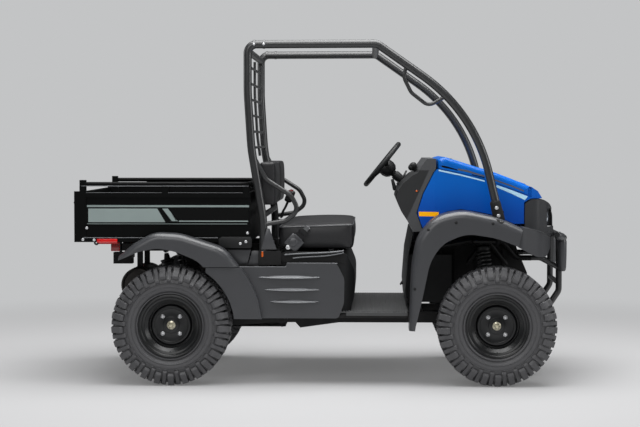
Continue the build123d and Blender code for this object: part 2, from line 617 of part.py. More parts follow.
def dashboard():
    inner_line = from_front([(-427, 815), (-438, 868), (-477, 930), (-501, 990), (-495, 1020), (-472, 1052),
                             (-427, 1092), (-393, 1106), (-371, 1146), (-355, 1176), (-321, 1176)])
    half = NOSE_REAR_Y
    dash = side_slab(DASH_LINE + inner_line, -half + 2, half - 2)
    end = DASH_LINE + from_front([(-391, 817), (-426, 917), (-393, 1020), (-336, 1134), (-321, 1153)])
    dash += both(side_slab(end, half - PANEL, half))
    # open pockets in the rear face
    for y0, y1 in ((-430, -130), (-60, 60)):
        dash -= side_slab(from_front([(-547, 965), (-547, 1024), (-457, 1050), (-457, 985)]), y0, y1)
    dash -= rod(column_point(-40), column_point(420), COLUMN_DIAMETER + 2 * SEAT_GAP)
    keep("dashboard", dash)


def column_point(distance):
    """Point on the steering axis, a distance below the wheel's centre."""
    tilt = math.radians(STEERING_TILT)
    x, y, z = STEERING_CENTRE
    return (x + distance * math.cos(tilt), y, z - distance * math.sin(tilt))


# ---------------------------------------------------------------- front guard and radiator
GUARD_Y = RAIL_Y - 2


def front_guard():
    tube = 34
    x = FRONT_END_X - 17
    leg = bent_tube([(RAIL_FRONT_X + SEAT_GAP, GUARD_Y, 336), (x - 118, GUARD_Y, 336), (x - 24, GUARD_Y, 478),
                     (x - 24, GUARD_Y, 762), (x - 32, GUARD_Y, 800)], tube, [60, 50, 30])
    link_x = FRONT_AXLE_X + 213 + SEAT_GAP
    leg += bent_tube([(link_x, GUARD_LINK_Y, GUARD_LINK_Z), (link_x + 50, GUARD_LINK_Y, GUARD_LINK_Z),
                      (x - 24, GUARD_Y, 604)], 28, 50)
    frame = both(leg)
    hoop = [(x - 46, -330, 790), (x, -270, 772), (x, 270, 772), (x - 46, 330, 790)]
    frame += bent_tube(hoop, tube, 50)
    frame += both(block(x - 14, x + 17, 235, 300, 600, 770))
    frame += rod((x - 24, -GUARD_Y, 520), (x - 24, GUARD_Y, 520), 28)
    keep("front_guard", frame)


def radiator():
    x = FRONT_AXLE_X + 90
    half = RAIL_Y - 14 - SEAT_GAP
    keep("radiator", block(x - 17, x + 17, -half, half, RAIL_TOP_Z + 20, 575))


# ---------------------------------------------------------------- roll cage
POST_LINE = [(CAGE_POST_X, CAGE_BAR_Z + SEAT_GAP), (CAGE_POST_X, 880), (CAGE_POST_X - 64, 1262),
             (CAGE_REAR_X, CAGE_BEND_Z),
             (CAGE_REAR_X, CAGE_TOP_Z)]
POST_BENDS = [700, 900, 1200]


def cage_rear():
    y = CAGE_HALF_WIDTH
    points = [(x, y, z) for x, z in POST_LINE] + [(CAGE_SPLIT_X, y, CAGE_TOP_Z)]
    post = bent_tube(points, CAGE_TUBE, POST_BENDS + [48])
    hip = from_rear([(439, y, 1222), (507, y, 1098), (641, y, 1012), (683, y, 930), (611, y, 876),
                     (493, y, 857)])
    post += bent_tube(hip, BAR_TUBE, [90, 80, 50, 50])
    cage = both(post)
    cross_z = CAGE_TOP_Z - 35
    cage += rod((CAGE_REAR_X, -y, cross_z), (CAGE_REAR_X, y, cross_z), CAGE_TUBE - 6)
    bar_z = 1090
    cage += rod((BACKREST_BAR_X, -y, bar_z), (BACKREST_BAR_X, y, bar_z), 32)
    cage += rod((CAGE_POST_X, -y, 905), (CAGE_POST_X, y, 905), 32)
    keep("cage_rear", cage)


def cage_front():
    y = CAGE_HALF_WIDTH
    path = [(CAGE_SPLIT_X + SEAT_GAP, y, CAGE_TOP_Z), (CAGE_FRONT_X, y, CAGE_TOP_Z + 2),
            (FRONT_AXLE_X - 121, y, CAGE_KNEE_Z),
            (CAGE_FOOT_X, y, CAGE_FOOT_Z)]
    cage = both(bent_tube(path, CAGE_TUBE, [60, 880]))
    cage += rod((CAGE_FRONT_X - 6, -y, CAGE_TOP_Z - 2), (CAGE_FRONT_X - 6, y, CAGE_TOP_Z - 2), CAGE_TUBE - 6)
    grab = from_front([(-481, -y, CAGE_TOP_Z - 101), (-497, -y, CAGE_TOP_Z - 177),
                       (-457, -y, CAGE_TOP_Z - 257),
                       (-365, -y, CAGE_TOP_Z - 329), (-267, -y, CAGE_TOP_Z - 273)])
    cage += bent_tube(grab, 20, [60, 60, 50])
    keep("cage_front", cage)


SCREEN_Y = CAGE_HALF_WIDTH - 40
SCREEN_BOTTOM_Z = 1268
SCREEN_TOP_Z = CAGE_TOP_Z - 113
SCREEN_BARS = 6


def post_x(z):
    """Centre of the rear posts at a height, on their chords."""
    for (x0, z0), (x1, z1) in zip(POST_LINE, POST_LINE[1:]):
        if z0 <= z <= z1:
            return x0 + (x1 - x0) * (z - z0) / (z1 - z0)
    return CAGE_REAR_X


def rear_screen():
    reach = CAGE_HALF_WIDTH - CAGE_TUBE / 2 - SEAT_GAP
    screen = None
    foot_z, bend_z = SCREEN_BOTTOM_Z - 48, SCREEN_BOTTOM_Z + 62
    line = [(post_x(foot_z) + 3, foot_z), (post_x(bend_z), bend_z), (CAGE_REAR_X, CAGE_BEND_Z),
            (CAGE_REAR_X, CAGE_TOP_Z - 67)]
    for y in (-SCREEN_Y, 0, SCREEN_Y):
        upright = bent_tube([(x, y, z) for x, z in line], 16, [500, 900])
        screen = upright if screen is None else screen + upright
    pitch = (SCREEN_TOP_Z - SCREEN_BOTTOM_Z) / (SCREEN_BARS - 1)
    for i in range(SCREEN_BARS):
        z = SCREEN_BOTTOM_Z + i * pitch
        x = post_x(z)
        screen += rod((x, -SCREEN_Y, z), (x, SCREEN_Y, z), 14)
    for z in (SCREEN_BOTTOM_Z + 32, SCREEN_TOP_Z - 44):
        screen += both(block(post_x(z) - 5, post_x(z) + 5, SCREEN_Y, reach, z - 12, z + 12))
    keep("rear_screen", screen)


# ---------------------------------------------------------------- seats and belts
def seat_cushion():
    half = SEAT_HALF_WIDTH
    outline = [(SEAT_REAR_X + 30, SEAT_BOTTOM_Z), (SEAT_FRONT_X - 6, SEAT_BOTTOM_Z),
               (SEAT_FRONT_X + 10, SEAT_TOP_Z - 40),
               (SEAT_FRONT_X - 10, SEAT_TOP_Z + 6), (SEAT_REAR_X, SEAT_TOP_Z - 26)]
    cushion = side_slab([(x, z + SEAT_GAP) for x, z in outline], -half, half, [12, 12, 30, 30, 30])
    keep("seat_cushion", cushion)


def seat_backrests():
    x1 = BACKREST_BAR_X + 16 + SEAT_GAP
    pad = side_slab([(x1, BACKREST_BOTTOM_Z), (x1 + 74, BACKREST_BOTTOM_Z + 4), (x1 + 58, BACKREST_TOP_Z - 4),
                     (x1, BACKREST_TOP_Z)], 40, SEAT_HALF_WIDTH - 10, [16, 24, 20, 10])
    keep("seat_backrests", both(pad))


def seat_belts():
    """Retractors on stalks at the outer sides of the seat."""
    y0, y1 = SEAT_HALF_WIDTH + 8, SEAT_HALF_WIDTH + 44
    body = from_rear([(615, 752), (665, 712), (715, 776), (665, 816)])
    tongue = from_rear([(691, 790), (713, 772), (761, 838), (739, 856)])
    belt = side_slab(body, y0, y1, 8)
    belt += side_slab(tongue, y0 + 10, y1 - 10, 4)
    stalk_x = REAR_AXLE_X + 665
    belt += block(stalk_x - 10, stalk_x + 10, y0 + 8, y1 - 8, RISER_TOP_Z + SEAT_GAP, 730)
    keep("seat_belts", both(belt))


# ---------------------------------------------------------------- power train
def engine():
    z0 = RAIL_TOP_Z - 10 + SEAT_GAP
    block_front = SWING_PIVOT_X - 114
    body = block(RAIL_REAR_X + 2, block_front, -185, 185, z0, 640)
    body += block(block_front - 1, FLOOR_REAR_X - 380, -60, 60, SHAFT_Z - 28, 430)
    keep("engine", body)


def muffler():
    half = 212
    can = rod((MUFFLER_X, -half, MUFFLER_Z), (MUFFLER_X, half, MUFFLER_Z), 2 * MUFFLER_RADIUS)
    pipe = bent_tube([(RAIL_REAR_X + 2 - SEAT_GAP, -80, 600)] + from_rear([(71, -80, 600), (-89, -80, 540),
                                                                           (-189, -80, 520)]),
                     44, [120, 120])
    tail = bent_tube([(MUFFLER_X, half - 4, MUFFLER_Z + 20), (MUFFLER_X, half + 70, MUFFLER_Z + 20),
                      (MUFFLER_X - 80, half + 70, MUFFLER_Z + 6)], 34, 40)
    keep("muffler", can, pipe, tail)


def rear_axle():
    half = REAR_WHEEL_Y - HUB_DEPTH + DISC_PLACE_REAR - MOVE_GAP
    axle = rod((REAR_AXLE_X, -half, AXLE_Z), (REAR_AXLE_X, half, AXLE_Z), 70)
    spindle = REAR_WHEEL_Y + DISC_PLACE_REAR - 2
    axle += rod((REAR_AXLE_X, -spindle, AXLE_Z), (REAR_AXLE_X, spindle, AXLE_Z), 2 * SPINDLE_RADIUS)
    axle += rod((REAR_AXLE_X, -90, AXLE_Z), (REAR_AXLE_X, 90, AXLE_Z), 190)
    arm = [(REAR_AXLE_X, AXLE_Z - 26), (REAR_AXLE_X + 320, SWING_PIVOT_Z - 40),
           (SWING_PIVOT_X, SWING_PIVOT_Z - 22),
           (SWING_PIVOT_X, SWING_PIVOT_Z + 22), (REAR_AXLE_X, AXLE_Z + 26)]
    one = side_slab(arm, 306, 346)
    one += rod((SWING_PIVOT_X, 300, SWING_PIVOT_Z), (SWING_PIVOT_X, 352, SWING_PIVOT_Z), 60)
    one -= rod((SWING_PIVOT_X, 290, SWING_PIVOT_Z), (SWING_PIVOT_X, 362, SWING_PIVOT_Z), 34 + 2 * SEAT_GAP)
    axle += both(one)
    # transaxle nose, up to the engine
    axle += block(REAR_AXLE_X, RAIL_REAR_X + 2 - SEAT_GAP, -80, 80, 366, 400)
    keep("rear_axle", axle)


def coil(start, end, low, high, turns):
    """Closed spring seen as stacked coils: a saw-toothed sleeve between two points."""
    run = Vector(*end) - Vector(*start)
    pitch = run.length / turns
    section = [(low - 6, 0)]
    for i in range(turns):
        section += [(low, i * pitch), (high, (i + 0.5) * pitch)]
    section += [(low, run.length), (low - 6, run.length)]
    face = Plane.XZ * make_face(Polyline(*section, close=True))
    return Plane(origin=start, z_dir=run) * revolve(face, axis=Axis.Z)


def rear_shocks():
    y = SHOCK_Y
    foot_z = AXLE_Z + 35 + SEAT_GAP
    top = (REAR_AXLE_X - 51, y, SHOCK_TOP_Z - 15)
    foot = (REAR_AXLE_X - 4, y, foot_z + 16)
    shock = rod(foot, top, 22)
    shock += block(REAR_AXLE_X - 20, REAR_AXLE_X + 14, y - 18, y + 18, foot_z, foot_z + 22)
    run = Vector(*top) - Vector(*foot)
    start = Vector(*foot) + run * 0.12
    end = Vector(*foot) + run * 0.86
    shock += coil(start, end, 17, 33, 9)
    keep("rear_shocks", both(shock))


def front_drive():
    """Front gear case, its half shafts and the drive shaft from the engine."""
    x0 = FRONT_AXLE_X - 65
    case_front = RAIL_FRONT_X - 40 - SEAT_GAP
    case = block(x0, case_front, -80, 80, RAIL_TOP_Z - RAIL_HEIGHT + 4, 476)
    case += block(x0 + 20, case_front - 20, -110, 110, 400, 460)
    end_y = HALF_WIDTH - 254
    shaft = rod((FRONT_AXLE_X, 100, 430), (FRONT_AXLE_X - 8, end_y, 326), 24)
    shaft += rod((FRONT_AXLE_X, 112, 426), (FRONT_AXLE_X - 2, 160, 410), 66)
    shaft += rod((FRONT_AXLE_X - 6, end_y - 54, 344), (FRONT_AXLE_X - 8, end_y - 4, 327), 60)
    case += both(shaft)
    case += rod((FLOOR_REAR_X - 380 + SEAT_GAP, 0, SHAFT_Z), (x0 + 1, 0, SHAFT_Z), SHAFT_DIAMETER)
    keep("front_drive", case)


def lower_arms():
    """V-shaped arms from the lower rails to the ball joints."""
    ball = KINGPIN_LOW
    pivot_y = RAIL_Y + RAIL_WIDTH / 2 + SEAT_GAP + 16
    low = Vector(*ball)
    along = (Vector(*KINGPIN_HIGH) - low).normalized()
    arm = rod(low - along * BALL_RADIUS, low + along * BALL_RADIUS, 2 * BALL_RADIUS)
    for dx in (-120, 120):
        pivot = (FRONT_AXLE_X + dx, pivot_y, 322)
        arm += rod(pivot, (ball[0] + dx * 0.05, ball[1] - 6, ball[2] - 9), 22)
        arm += rod((pivot[0] - 22, pivot_y, 322), (pivot[0] + 22, pivot_y, 322), 32)
    keep("lower_arms", both(arm))


# ---------------------------------------------------------------- steering
def steering_column():
    top = column_point(60)
    knee = column_point(400)
    column = rod(top, knee, COLUMN_DIAMETER)
    column -= rod(column_point(59), column_point(170), 20 + 2 * RUNNING_GAP)
    pinion = (RACK_X, 150, RACK_Z + 42)
    column += Pos(*knee) * Sphere(COLUMN_DIAMETER / 2)
    column += rod(knee, pinion, 24)
    # rack housing that the rack slides in, standing on the lower rails
    housing = block(RACK_X - 19, RACK_X + 19, -250, 250, RAIL_TOP_Z + SEAT_GAP, RACK_Z + 22)
    housing += rod((RACK_X, 150, RACK_Z + 10), (RACK_X, 150, RACK_Z + 60), 44)
    housing -= rod((RACK_X, -260, RACK_Z), (RACK_X, 260, RACK_Z), RACK_DIAMETER + 2 * RUNNING_GAP)
    keep("steering_column", column + housing)


def steering_rack():
    end = RACK_HALF_LENGTH
    rack = rod((RACK_X, -end, RACK_Z), (RACK_X, end, RACK_Z), RACK_DIAMETER)
    rack += both(rod((RACK_X, end, RACK_Z - 14), (RACK_X, end, RACK_Z + 14), 30))
    keep("steering_rack", rack)


def steering_wheel():
    place = Plane(origin=STEERING_CENTRE, z_dir=Vector(*STEERING_CENTRE) - Vector(*column_point(10)))
    rim = Torus(STEERING_RIM_RADIUS, STEERING_RIM_TUBE / 2)
    wheel = rim + Pos(0, 0, -16) * Cylinder(34, 44)
    for angle in (90, 210, 330):
        spoke = Pos(80, 0, -4) * Box(140, 24, 10)
        wheel += Rot(0, 0, angle) * spoke
    wheel += Pos(0, 0, -90) * Cylinder(10, 140)
    keep("steering_wheel", place * wheel)


def knuckle(side):
    """Upright, spindle, strut with its spring, and steering arm of one front wheel."""
    low = Vector(KINGPIN_LOW[0], side * KINGPIN_LOW[1], KINGPIN_LOW[2])
    high = Vector(KINGPIN_HIGH[0], side * KINGPIN_HIGH[1], KINGPIN_HIGH[2])
    along = (high - low).normalized()
    foot = low + along * (BALL_RADIUS + SEAT_GAP)
    head = high - along * SEAT_GAP
    body = rod(foot, head, STRUT_DIAMETER)
    spring_foot = low + along * 398
    body += coil(spring_foot, head, STRUT_DIAMETER / 2 + 4, SPRING_DIAMETER / 2, 6)
    body += rod(spring_foot - along * 6, spring_foot, SPRING_DIAMETER)
    # upright and spindle
    centre = low + along * ((AXLE_Z - low.Z) / along.Z)
    hub_face = FRONT_WHEEL_Y + DISC_PLACE_FRONT - HUB_DEPTH - MOVE_GAP
    body += rod((FRONT_AXLE_X, centre.Y, AXLE_Z), (FRONT_AXLE_X, side * hub_face, AXLE_Z), 68)
    spindle_end = FRONT_WHEEL_Y + DISC_PLACE_FRONT - 2
    body += rod((FRONT_AXLE_X, side * (hub_face - 8), AXLE_Z), (FRONT_AXLE_X, side * spindle_end, AXLE_Z),
                2 * SPINDLE_RADIUS)
    # steering arm above the end of the rack
    arm_z = RACK_Z + 12 + 28
    root = low + along * ((arm_z - low.Z) / along.Z)
    body += rod(root, (RACK_X, side * RACK_HALF_LENGTH, arm_z), 22)
    body += rod((RACK_X, side * RACK_HALF_LENGTH, arm_z - 11),
                (RACK_X, side * RACK_HALF_LENGTH, arm_z + 11), 28)
    return body


# ---------------------------------------------------------------- wheels
DISC_PLACE_FRONT = HALF_WIDTH - DISC_OUT - FRONT_WHEEL_Y + 8
DISC_PLACE_REAR = HALF_WIDTH - DISC_OUT - REAR_WHEEL_Y + 8


def tyre(x, y, width, rim_width):
    """Flat-sided rings from bead to crown, with a row of shoulder lugs on each side, half a pitch apart."""
    half = width / 2
    bead = rim_width / 2 - RIM_SHEET - 1
    base = RIM_RADIUS + SEAT_GAP
    crown = TYRE_RADIUS - LUG_HEIGHT
    outer = [(bead, base), (bead, FLANGE_RADIUS + 2), (half, TYRE_RADIUS - 92), (half - 6, TYRE_RADIUS - 46),
             (half - 36, crown)]
    inner = [(bead - 12, base), (half - 14, TYRE_RADIUS - 90), (half - 40, crown - 13)]
    section = outer + [(-across, r) for across, r in reversed(outer)]
    section += [(-across, r) for across, r in inner] + [(across, r) for across, r in reversed(inner)]
    pitch = 360 / LUG_PITCHES
    edge = 1 / math.cos(math.radians(pitch / 2))
    cut = Polyline([(0, across, r * edge) for across, r in section], close=True)
    face = Face(Wire(cut.edges()))
    axle = Axis((0, 0, 0), (0, 1, 0))
    ring_piece = loft([face.rotate(axle, -pitch / 2), face.rotate(axle, pitch / 2)], ruled=True)
    lug = [(half - 34, crown - 10), (half - 34, TYRE_RADIUS), (half - 18, TYRE_RADIUS),
           (half, TYRE_RADIUS - 38), (half - 9, TYRE_RADIUS - 44)]
    lug_face = Face(Wire(Polyline([(-LUG_LENGTH / 2, across, r) for across, r in lug], close=True).edges()))
    right_lug = extrude(lug_face, LUG_LENGTH, (1, 0, 0))
    left_lug = right_lug.mirror(Plane.XZ)
    turns = [180 + pitch * i for i in range(LUG_PITCHES)]
    ring = Part() + [ring_piece.rotate(axle, turn) for turn in turns]
    lugs = [right_lug.rotate(axle, turn) for turn in turns]
    lugs += [left_lug.rotate(axle, turn + pitch / 2) for turn in turns]
    return (ring + lugs).moved(Location((x, y, AXLE_Z)))


def rim(x, y, rim_width, disc):
    """Steel rim with its disc, hub and axle nut. The disc stands toward the outer side."""
    side = 1 if y > 0 else -1
    h = rim_width / 2
    t = RIM_SHEET
    well = RIM_RADIUS - 19
    outer = [(h, FLANGE_RADIUS), (h - t, FLANGE_RADIUS), (h - t, RIM_RADIUS), (h - 26, RIM_RADIUS),
             (h - 40, well)]
    inner = [(h, RIM_RADIUS - t), (h - 27, RIM_RADIUS - t), (h - 41, well - t)]
    barrel = outer + [(-a, r) for a, r in reversed(outer)] + [(-a, r) for a, r in inner] \
        + [(a, r) for a, r in reversed(inner)]
    d = disc
    bore = SPINDLE_RADIUS + RUNNING_GAP
    plate = [(d + 22, 0), (d + 22, NUT_RADIUS), (d + 8, NUT_RADIUS), (d + 8, HUB_RADIUS),
             (d + 2, HUB_RADIUS + 4),
             (d + 2, 86), (d + 6, 92), (d + 6, 100), (d - 8, 112), (d - 8, well - 2), (d - 13, well - 2),
             (d - 13, 110),
             (d + 1, 98), (d + 1, 90), (d - 3, 84), (d - 3, HUB_RADIUS), (d - HUB_DEPTH, HUB_RADIUS),
             (d - HUB_DEPTH, bore), (d, bore), (d, 0)]
    shape = turned([(side * a, r) for a, r in barrel], (x, y, AXLE_Z))
    return shape + turned([(side * a, r) for a, r in plate], (x, y, AXLE_Z))


WHEEL_TABLE = (  # name, x, y, tyre width, rim width, place of the disc
    ("front_right", FRONT_AXLE_X, -FRONT_WHEEL_Y, FRONT_TYRE_WIDTH, FRONT_RIM_WIDTH, DISC_PLACE_FRONT),
    ("front_left", FRONT_AXLE_X, FRONT_WHEEL_Y, FRONT_TYRE_WIDTH, FRONT_RIM_WIDTH, DISC_PLACE_FRONT),
    ("rear_right", REAR_AXLE_X, -REAR_WHEEL_Y, REAR_TYRE_WIDTH, REAR_RIM_WIDTH, DISC_PLACE_REAR),
    ("rear_left", REAR_AXLE_X, REAR_WHEEL_Y, REAR_TYRE_WIDTH, REAR_RIM_WIDTH, DISC_PLACE_REAR),
)


# ---------------------------------------------------------------- cargo bed
STAKES_X = (BED_REAR_X + 29, REAR_AXLE_X - 49, BED_FRONT_X - BED_POST - 6)
TAILGATE_HINGES_Y = (-380, 0, 380)


def bed_tub():
    w = BED_HALF_WIDTH
    inner_x = TAILGATE_HINGE_X + 17
    tub = block(inner_x, BED_FRONT_X, -w, w, BED_FLOOR_Z, BED_FLOOR_Z + BED_SHEET)
    tub += both(block(BED_REAR_X, BED_FRONT_X, w - BED_SHEET, w, BED_WALL_BOTTOM_Z, BED_WALL_TOP_Z))
    tub += block(BED_FRONT_X - BED_SHEET, BED_FRONT_X, -w, w, BED_WALL_BOTTOM_Z, BED_WALL_TOP_Z)
    # formed bands along the sides
    for z0, z1 in ((BED_WALL_BOTTOM_Z, BED_WALL_BOTTOM_Z + 26), (866, 946),
                   (BED_WALL_TOP_Z - 26, BED_WALL_TOP_Z)):
        tub += both(block(BED_REAR_X + 62, BED_FRONT_X, w - 1, w + BED_BEAD, z0, z1))
    tub += both(block(BED_REAR_X, BED_REAR_X + 63, w - 1, w + BED_BEAD, BED_WALL_BOTTOM_Z,
                      BED_WALL_TOP_Z + 8))
    # stake posts that carry the rails
    for x in STAKES_X:
        tub += both(block(x, x + BED_POST, w - 20, w + BED_BEAD, BED_WALL_TOP_Z - 2, BED_RAIL_Z - 12))
    # sills under the floor, their front pads, and the lugs and pins of the hinge
    inner = RAIL_Y - UPPER_RAIL_SIZE / 2
    sill = block(BED_HINGE_X + 40, BED_FRONT_X - 30, inner + 6, inner + 34, UPPER_RAIL_TOP_Z + 6, BED_FLOOR_Z)
    sill += block(BED_FRONT_X - 60, BED_FRONT_X - 30, inner + 6, inner + 34, UPPER_RAIL_TOP_Z + SEAT_GAP,
                  BED_FLOOR_Z)
    lug = [(BED_HINGE_X - 11, BED_HINGE_Z - 10), (BED_HINGE_X + 11, BED_HINGE_Z - 10),
           (BED_HINGE_X + 34, BED_FLOOR_Z),
           (BED_HINGE_X - 34, BED_FLOOR_Z)]
    sill += side_slab(lug, inner - MOVE_GAP - 8, inner - MOVE_GAP)
    sill += rod((BED_HINGE_X, inner - MOVE_GAP - 8, BED_HINGE_Z), (BED_HINGE_X, inner + 14, BED_HINGE_Z),
                HINGE_PIN)
    tub += both(sill)
    # lugs and pins of the tailgate's hinge
    for y in TAILGATE_HINGES_Y:
        for edge in (y - 45, y + 35):
            tub += block(TAILGATE_HINGE_X - 8, inner_x + 20, edge, edge + 10, TAILGATE_HINGE_Z - 8,
                         TAILGATE_HINGE_Z + 9)
            tub += block(inner_x + 4, inner_x + 20, edge, edge + 10, TAILGATE_HINGE_Z, BED_FLOOR_Z + 1)
        tub += rod((TAILGATE_HINGE_X, y - 40, TAILGATE_HINGE_Z),
                   (TAILGATE_HINGE_X, y + 40, TAILGATE_HINGE_Z), 10)
    keep("bed_tub", tub)


def bed_rails():
    w = BED_HALF_WIDTH - 6
    r = BED_RAIL_DIAMETER / 2
    z = BED_RAIL_Z
    run = [(BED_REAR_X + 30, w, z), (BED_FRONT_X - 16, w, z), (BED_FRONT_X - 16, -w, z),
           (BED_REAR_X + 30, -w, z)]
    rail = bent_tube(run, BED_RAIL_DIAMETER, 40)
    for x in STAKES_X:
        rail += both(block(x, x + BED_POST, w - 12, w + 12, BED_RAIL_Z - 12 + SEAT_GAP, BED_RAIL_Z + 2))
    rail += both(block(BED_REAR_X + 29, BED_REAR_X + 29 + BED_POST, w - 12, w + 12, BED_RAIL_Z - 2,
                       BED_RAIL_Z + 21))
    keep("bed_rails", rail)


def tail_lamps():
    w = BED_HALF_WIDTH
    x = REAR_AXLE_X - 275
    lamp = block(x - 51, x, w - 70, w - 24, 712, BED_FLOOR_Z - SEAT_GAP)
    lamp += block(x - 125, x - 16, w - 30, w - BED_SHEET - SEAT_GAP, 750, 784)
    keep("tail_lamps", both(lamp))


def tailgate():
    w = BED_HALF_WIDTH - BED_SHEET - MOVE_GAP
    x0 = REAR_END_X + 6
    gate = block(x0, x0 + BED_SHEET, -w, w, TAILGATE_HINGE_Z + 8, BED_WALL_TOP_Z)
    for z0, z1 in ((TAILGATE_HINGE_Z + 8, 800), (866, 946), (BED_WALL_TOP_Z - 26, BED_WALL_TOP_Z)):
        gate += block(x0 - 4, x0 + 1, -w, w, z0, z1)
    # latch handles near both ends
    gate += both(block(REAR_END_X, x0 + 1, w - 60, w - 18, 950, 990))
    for y in TAILGATE_HINGES_Y:
        gate -= block(x0 - 5, x0 + BED_SHEET + 5, y - 50, y + 50, TAILGATE_HINGE_Z, TAILGATE_HINGE_Z + 15)
        gate += rod((TAILGATE_HINGE_X, y - 30, TAILGATE_HINGE_Z),
                    (TAILGATE_HINGE_X, y + 30, TAILGATE_HINGE_Z), 18)
        gate += block(TAILGATE_HINGE_X - 6, TAILGATE_HINGE_X + 6, y - 30, y + 30, TAILGATE_HINGE_Z + 2,
                      TAILGATE_HINGE_Z + 18)
        gate -= rod((TAILGATE_HINGE_X, y - 31, TAILGATE_HINGE_Z),
                    (TAILGATE_HINGE_X, y + 31, TAILGATE_HINGE_Z),
                    10 + 2 * RUNNING_GAP)
    keep("tailgate", gate)


# ---------------------------------------------------------------- controls
def controls():
    """Gear lever on the dashboard."""
    x = FRONT_AXLE_X - 437
    lever = rod((x + 24.6, 0, 1140.2), (x, 0, 1152.5), 12)
    lever += Pos(x - 4, 0, 1154.5) * Sphere(19)
    keep("gear_lever", lever)


def build_all():
    frame_lower()
    frame_front()
    frame_rear()
    floor_plate()
    toe_board()
    seat_riser()
    for name, left in (("side_cover", side_cover(1)), ("rear_fender", rear_fender(1)),
                       ("front_fender", front_fender(1)), ("knuckle", knuckle(1))):
        keep(name + "_left", left)
        keep(name + "_right", mirror(left, about=Plane.XZ))
    hood_cowl()
    hood_lid()
    front_fascia()
    headlamps()
    dashboard()
    front_guard()
    radiator()
    cage_rear()
    cage_front()
    rear_screen()
    seat_cushion()
    seat_backrests()
    seat_belts()
    engine()
    muffler()
    rear_axle()
    rear_shocks()
    front_drive()
    lower_arms()
    steering_column()
    steering_rack()
    steering_wheel()
    for name, x, y, width, rim_width, disc in WHEEL_TABLE:
        keep("tyre_" + name, tyre(x, y, width, rim_width))
        keep("rim_" + name, rim(x, y, rim_width, disc))
    bed_tub()
    bed_rails()
    tail_lamps()
    tailgate()
    controls()


build_all()
os.makedirs("parts", exist_ok=True)
for name, shape in pieces.items():
    export_step(shape, f"parts/{name}.step")
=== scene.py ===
"""Looks of the two-seat utility vehicle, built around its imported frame.

Lengths are written in millimetres, +X forward, +Y to the vehicle's left and +Z up, and mm() turns them into metres.
"""
import math
from contextlib import contextmanager

import bmesh
import bpy
from mathutils import Matrix, Vector


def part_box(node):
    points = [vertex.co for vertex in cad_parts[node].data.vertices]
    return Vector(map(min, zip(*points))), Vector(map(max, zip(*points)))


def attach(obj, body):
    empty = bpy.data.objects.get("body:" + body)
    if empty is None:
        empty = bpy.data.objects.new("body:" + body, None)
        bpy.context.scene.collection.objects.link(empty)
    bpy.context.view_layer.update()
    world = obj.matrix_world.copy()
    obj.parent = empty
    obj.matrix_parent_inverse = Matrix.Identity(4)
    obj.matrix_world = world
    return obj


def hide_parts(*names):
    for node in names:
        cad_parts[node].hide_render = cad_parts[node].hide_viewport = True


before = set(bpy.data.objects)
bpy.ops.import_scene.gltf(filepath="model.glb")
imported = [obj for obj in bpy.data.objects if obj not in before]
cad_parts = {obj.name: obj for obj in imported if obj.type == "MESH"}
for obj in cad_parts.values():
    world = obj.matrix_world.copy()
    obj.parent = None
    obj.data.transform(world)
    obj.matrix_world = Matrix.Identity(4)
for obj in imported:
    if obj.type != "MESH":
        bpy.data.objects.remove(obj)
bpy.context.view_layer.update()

RIGHT, LEFT = -1, 1
SIDES = ((RIGHT, "right"), (LEFT, "left"))
X_AXIS, Y_AXIS, Z_AXIS = Vector((1, 0, 0)), Vector((0, 1, 0)), Vector((0, 0, 1))
FULL_TURN = 2 * math.pi
WELD = 0.00002           # corners nearer than this are one, in metres
HUB = (0, 0, 0)          # where a piece is modelled before it is carried to its place


# ---------------------------------------------------------------- modelling by hand
def mm(x, y, z):
    """A place or size in millimetres, as a vector in metres."""
    return Vector((x, y, z)) / 1000


def deselect():
    bpy.ops.object.select_all(action="DESELECT")


def take(*pieces):
    """Selects these pieces alone, the first of them active."""
    deselect()
    for piece in pieces:
        piece.select_set(True)
    bpy.context.view_layer.objects.active = pieces[0]


@contextmanager
def shaping(piece):
    """Edit mode on one piece, with all of it selected."""
    take(piece)
    bpy.ops.object.mode_set(mode="EDIT")
    bpy.ops.mesh.select_mode(type="VERT")
    bpy.ops.mesh.select_all(action="SELECT")
    yield
    bpy.ops.object.mode_set(mode="OBJECT")


def pick(kind, test):
    """In edit mode, selects the faces, edges or corners that pass a test; returns how many do."""
    bpy.ops.mesh.select_mode(type={"faces": "FACE", "edges": "EDGE", "verts": "VERT"}[kind])
    bpy.ops.mesh.select_all(action="DESELECT")
    mesh = bpy.context.edit_object.data
    form = bmesh.from_edit_mesh(mesh)
    chosen = [part for part in getattr(form, kind) if test(part)]
    for part in chosen:
        part.select_set(True)
    bmesh.update_edit_mesh(mesh)
    return len(chosen)


def added(name):
    """The primitive just added, named and with its place in its mesh."""
    piece = bpy.context.object
    piece.name = piece.data.name = name
    take(piece)
    bpy.ops.object.transform_apply(location=True, rotation=True, scale=True)
    return piece


def modified(piece, kind, **settings):
    """Adds a modifier, sets it and applies it."""
    take(piece)
    modifier = piece.modifiers.new(kind.title(), kind)
    for key, value in settings.items():
        setattr(modifier, key, value)
    bpy.ops.object.modifier_apply(modifier=modifier.name)
    return piece


def rounded(piece, width, segments=2, angle=40):
    """Rounds the edges of a piece that turn by more than an angle."""
    return modified(piece, "BEVEL", width=width / 1000, segments=segments, limit_method="ANGLE",
                    angle_limit=math.radians(angle), use_clamp_overlap=True, miter_outer="MITER_ARC")


def smoothed(piece, angle=35):
    take(piece)
    bpy.ops.object.shade_smooth_by_angle(angle=math.radians(angle))
    return piece


def welded(piece):
    """Merges doubled corners and turns all faces outwards."""
    with shaping(piece):
        bpy.ops.mesh.remove_doubles(threshold=WELD)
        bpy.ops.mesh.normals_make_consistent(inside=False)
    return piece


